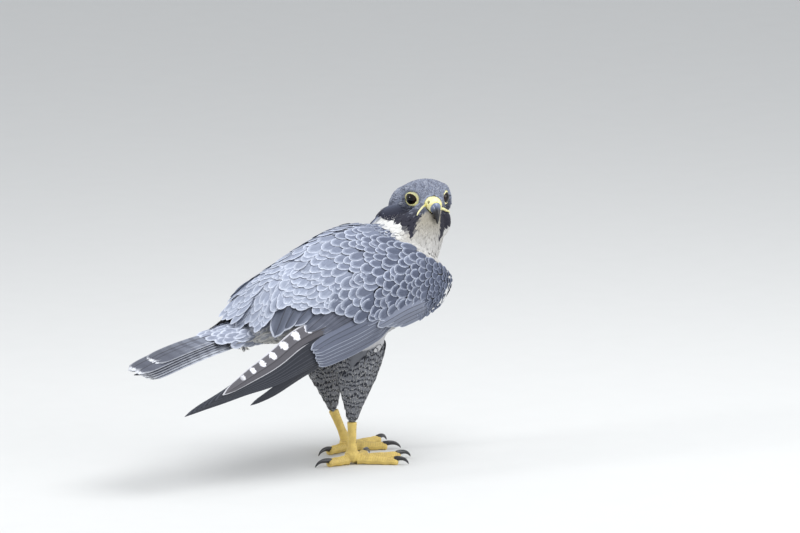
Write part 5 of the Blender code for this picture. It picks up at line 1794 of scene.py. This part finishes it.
# %% Shanks and feet
FOOT_AT = {"right": np.array([-7.0, -31.0, 8.0]), "left": np.array([32.0, 20.0, 8.0])}
FOOT_TURN = 12.0
TOES = {"middle": (0.0, 45.0), "inner": (42.0, 32.0), "outer": (-36.0, 37.0), "hind": (184.0, 21.0)}
CLAW_LENGTH = {"middle": 15.0, "inner": 16.5, "outer": 13.0, "hind": 17.5}
CLAW_RADII = [(0.0, 2.5), (0.2, 2.35), (0.45, 1.9), (0.7, 1.3), (0.88, 0.8), (1.0, 0.25)]
CLAW_BEND, CLAW_STEPS = 72, 26
FOOT_VOXEL, FOOT_ROUNDS = 0.00042, 8
TOE_HALF, TOE_TOP, SHANK_FROM = 6.5, 16, 14
SCUTE_STEP, SCUTE_DEPTH, SHANK_STEP, SHANK_DEPTH = 2.3, 0.30, 2.6, 0.28
SCALE_SIZE, SCALE_DEPTH = 1.35, 0.10


def toe_way(side, toe):
    turn = TOES[toe][0] - FOOT_TURN
    angle = math.radians(turn) * (-1 if side == "left" else 1)
    return np.array([math.cos(angle), math.sin(angle), 0.0])


def make_foot(side):
    made = melt("foot_scales_" + side, ("foot_" + side, "shank_" + side), FOOT_VOXEL, FOOT_ROUNDS)
    points, out = points_of(made), read_points(made, "normal")
    groove, press, best = np.ones(len(points)), np.zeros(len(points)), np.full(len(points), TOE_HALF)
    for toe, (_, length) in TOES.items():
        way = toe_way(side, toe)
        offset = points - FOOT_AT[side] * (1, 1, 0)
        along = offset @ way
        aside = np.abs(offset @ np.cross((0, 0, 1), way))
        mine = (aside < best) & (along > 3) & (along < length + 8) & (points[:, 2] < TOE_TOP)
        best = np.where(mine, aside, best)
        wave = np.abs((along / SCUTE_STEP + 0.12 * aside) % 1 - 0.5) * 2
        cut = ease(0.80, 1.0, wave) * ease(0.15, 0.5, out[:, 2])
        groove, press = np.where(mine, 1 - cut, groove), np.where(mine, -SCUTE_DEPTH * cut, press)
    high = points[:, 2] > SHANK_FROM
    wave = np.abs((points[:, 2] / SHANK_STEP) % 1 - 0.5) * 2
    cut = ease(0.82, 1.0, wave) * ease(-0.2, 0.4, out[:, 0])
    groove, press = np.where(high, 1 - cut, groove), np.where(high, -SHANK_DEPTH * cut, press)
    x, y, z = points.T / SCALE_SIZE
    lattice = np.sin(x * 2.1 + np.sin(y * 1.7)) * np.sin(y * 2.3 + np.sin(z * 1.9)) * np.sin(z * 2.2 + 0.7)
    plain = (groove > 0.98) & (points[:, 2] > 0.8)
    press = press + np.where(plain, SCALE_DEPTH * lattice * (1 - ease(0.3, 0.7, out[:, 2])), 0)
    points = points + out * press[:, None]
    points[:, 2] = np.maximum(points[:, 2], 0.0)
    move_points(made, points)
    give(made.data, "down", "FLOAT", groove)
    print(made.name, len(made.data.polygons), "faces")
    return dress(made, SCALES, 180)


def make_claws(side):
    """The four claws of a foot, each a horn that curves down to a point over the floor."""
    made = []
    for toe, (_, length) in TOES.items():
        way = toe_way(side, toe)
        wide = np.cross((0, 0, 1), way)
        start = FOOT_AT[side] * (1, 1, 0) + way * (5.0 + length - 1.5)
        sections = []
        for t in np.linspace(0, 1, CLAW_STEPS):
            radius = np.interp(t, *np.array(CLAW_RADII).T)
            angle = math.radians(20 - 92 * t)
            bend = math.sin(math.radians(CLAW_BEND * t)) / math.sin(math.radians(CLAW_BEND))
            drop = 5.6 + 1.4 * math.sin(math.pi * t) - 4.6 * t * t
            high = np.array([0, 0, 1.0]) * math.cos(angle) - way * math.sin(angle)
            middle = start + way * (bend * CLAW_LENGTH[toe]) + (0, 0, drop)
            sections.append((middle, wide, unit(high), radius * 0.85, radius, radius))
        piece = loft(f"claw_horn_{toe}_{side}", sections, 24)
        made.append((dress(piece, CLAW), f"claw_{toe}_{side}"))
    return made


feet = {side: make_foot(side) for side in SIDE}
claws = [pair for side in SIDE for pair in make_claws(side)]

# %% [markdown]
# ## Standing in for the solids
# Each finished piece says which solids it stands for, and those solids are hidden. The coats stand
# for nothing of their own: they ride on the bird with the skin.

# %% What stands for what
def settle(piece, slot, *nodes):
    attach(piece, "root")
    if nodes:
        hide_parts(*nodes)


settle(skin, "mantle", *SKIN_NODES)
COAT_SLOTS = ("hood", "hood", "breast", "breast", "thigh", "mantle", "mantle", "mantle", "mantle")
for piece, slot in zip(coat, COAT_SLOTS):
    settle(piece, slot)
for side, piece in wing_quills.items():
    settle(piece, "flight", "wing_" + side)
settle(tail_feathers, "flight", "tail")
settle(upper, "bill", "bill_upper")
settle(lower, "bill", "bill_lower")
settle(cere, "cere", "cere")
for piece in gapes + lids:
    settle(piece, "cere")
for piece, side in zip(eyes, ("left", "right")):
    settle(piece, "eye", "eye_" + side)
for side, piece in feet.items():
    settle(piece, "skin", "foot_" + side, "shank_" + side)
for piece, solid in claws:
    settle(piece, "claw", solid)
for shape in SHAPES.values():
    bpy.data.objects.remove(shape)

# %% [markdown]
# ## Floor, light and camera
# The bird stands on a wide pale floor, under one broad soft light from above with a weaker one from the
# front, like an overcast sky. The camera looks from the bird's right and a little above, from far off with a
# long lens, as the photograph does.

# %% The floor
FLOOR_HALF = 4.0
PAPER = (0.66, 0.66, 0.65, 1.0)
corners = [(i * FLOOR_HALF, j * FLOOR_HALF, 0) for i, j in ((-1, -1), (1, -1), (1, 1), (-1, 1))]
floor_mesh = bpy.data.meshes.new("floor")
floor_mesh.from_pydata(corners, [], [(0, 1, 2, 3)])
floor = stand("floor", floor_mesh)
paper = Finish("paper", 0.85, specular=0.2)
floor.data.materials.append(paper.done(paper.shade(PAPER, 0.985, 1.015, paper.noise(30.0))))

# %% Lights
def add_light(name, place, target, size, watts, colour=(1, 1, 1)):
    lamp = bpy.data.lights.new(name, "AREA")
    lamp.shape, lamp.size, lamp.energy, lamp.color = "DISK", size, watts, colour
    made = stand(name, lamp)
    made.location = place
    made.rotation_euler = (Vector(place) - Vector(target)).to_track_quat("Z", "Y").to_euler()


MIDDLE = (0.0, 0.0, 0.14)
add_light("sky", (0.25, -0.35, 1.9), MIDDLE, 1.5, 27.0, (0.97, 0.985, 1.0))
add_light("front", (1.0, -1.9, 0.9), MIDDLE, 1.4, 13.0)
add_light("window", (-1.35, 0.62, 0.80), (0.1, 0.0, 0.24), 0.35, 7.0)
world = bpy.data.worlds.new("studio")
bpy.context.scene.world = world
world.use_nodes = True
background = world.node_tree.nodes["Background"].inputs
background["Color"].default_value = (0.93, 0.96, 1.0, 1.0)
background["Strength"].default_value = 0.75

# %% The camera
CAMERA_FAR, CAMERA_LENS = 10.0, 477.0
MIDDLE_RIGHT, MIDDLE_ABOVE = 60.66, 181.6
lens = bpy.data.cameras.new("camera")
lens.lens, lens.sensor_width, lens.clip_end = CAMERA_LENS, 36.0, 100.0
camera = stand("camera", lens)
depth = float(TOWARDS @ np.array([0, -20, 150.0]))
target = RIGHT * MIDDLE_RIGHT + ABOVE * MIDDLE_ABOVE + TOWARDS * depth + SHIFT
camera.location = Vector(target * MM) + Vector(TOWARDS) * CAMERA_FAR
camera.rotation_euler = Vector(TOWARDS).to_track_quat("Z", "Y").to_euler()
bpy.context.scene.camera = camera
bpy.context.scene.view_settings.view_transform = "Standard"
print("camera", [round(v, 3) for v in camera.location])
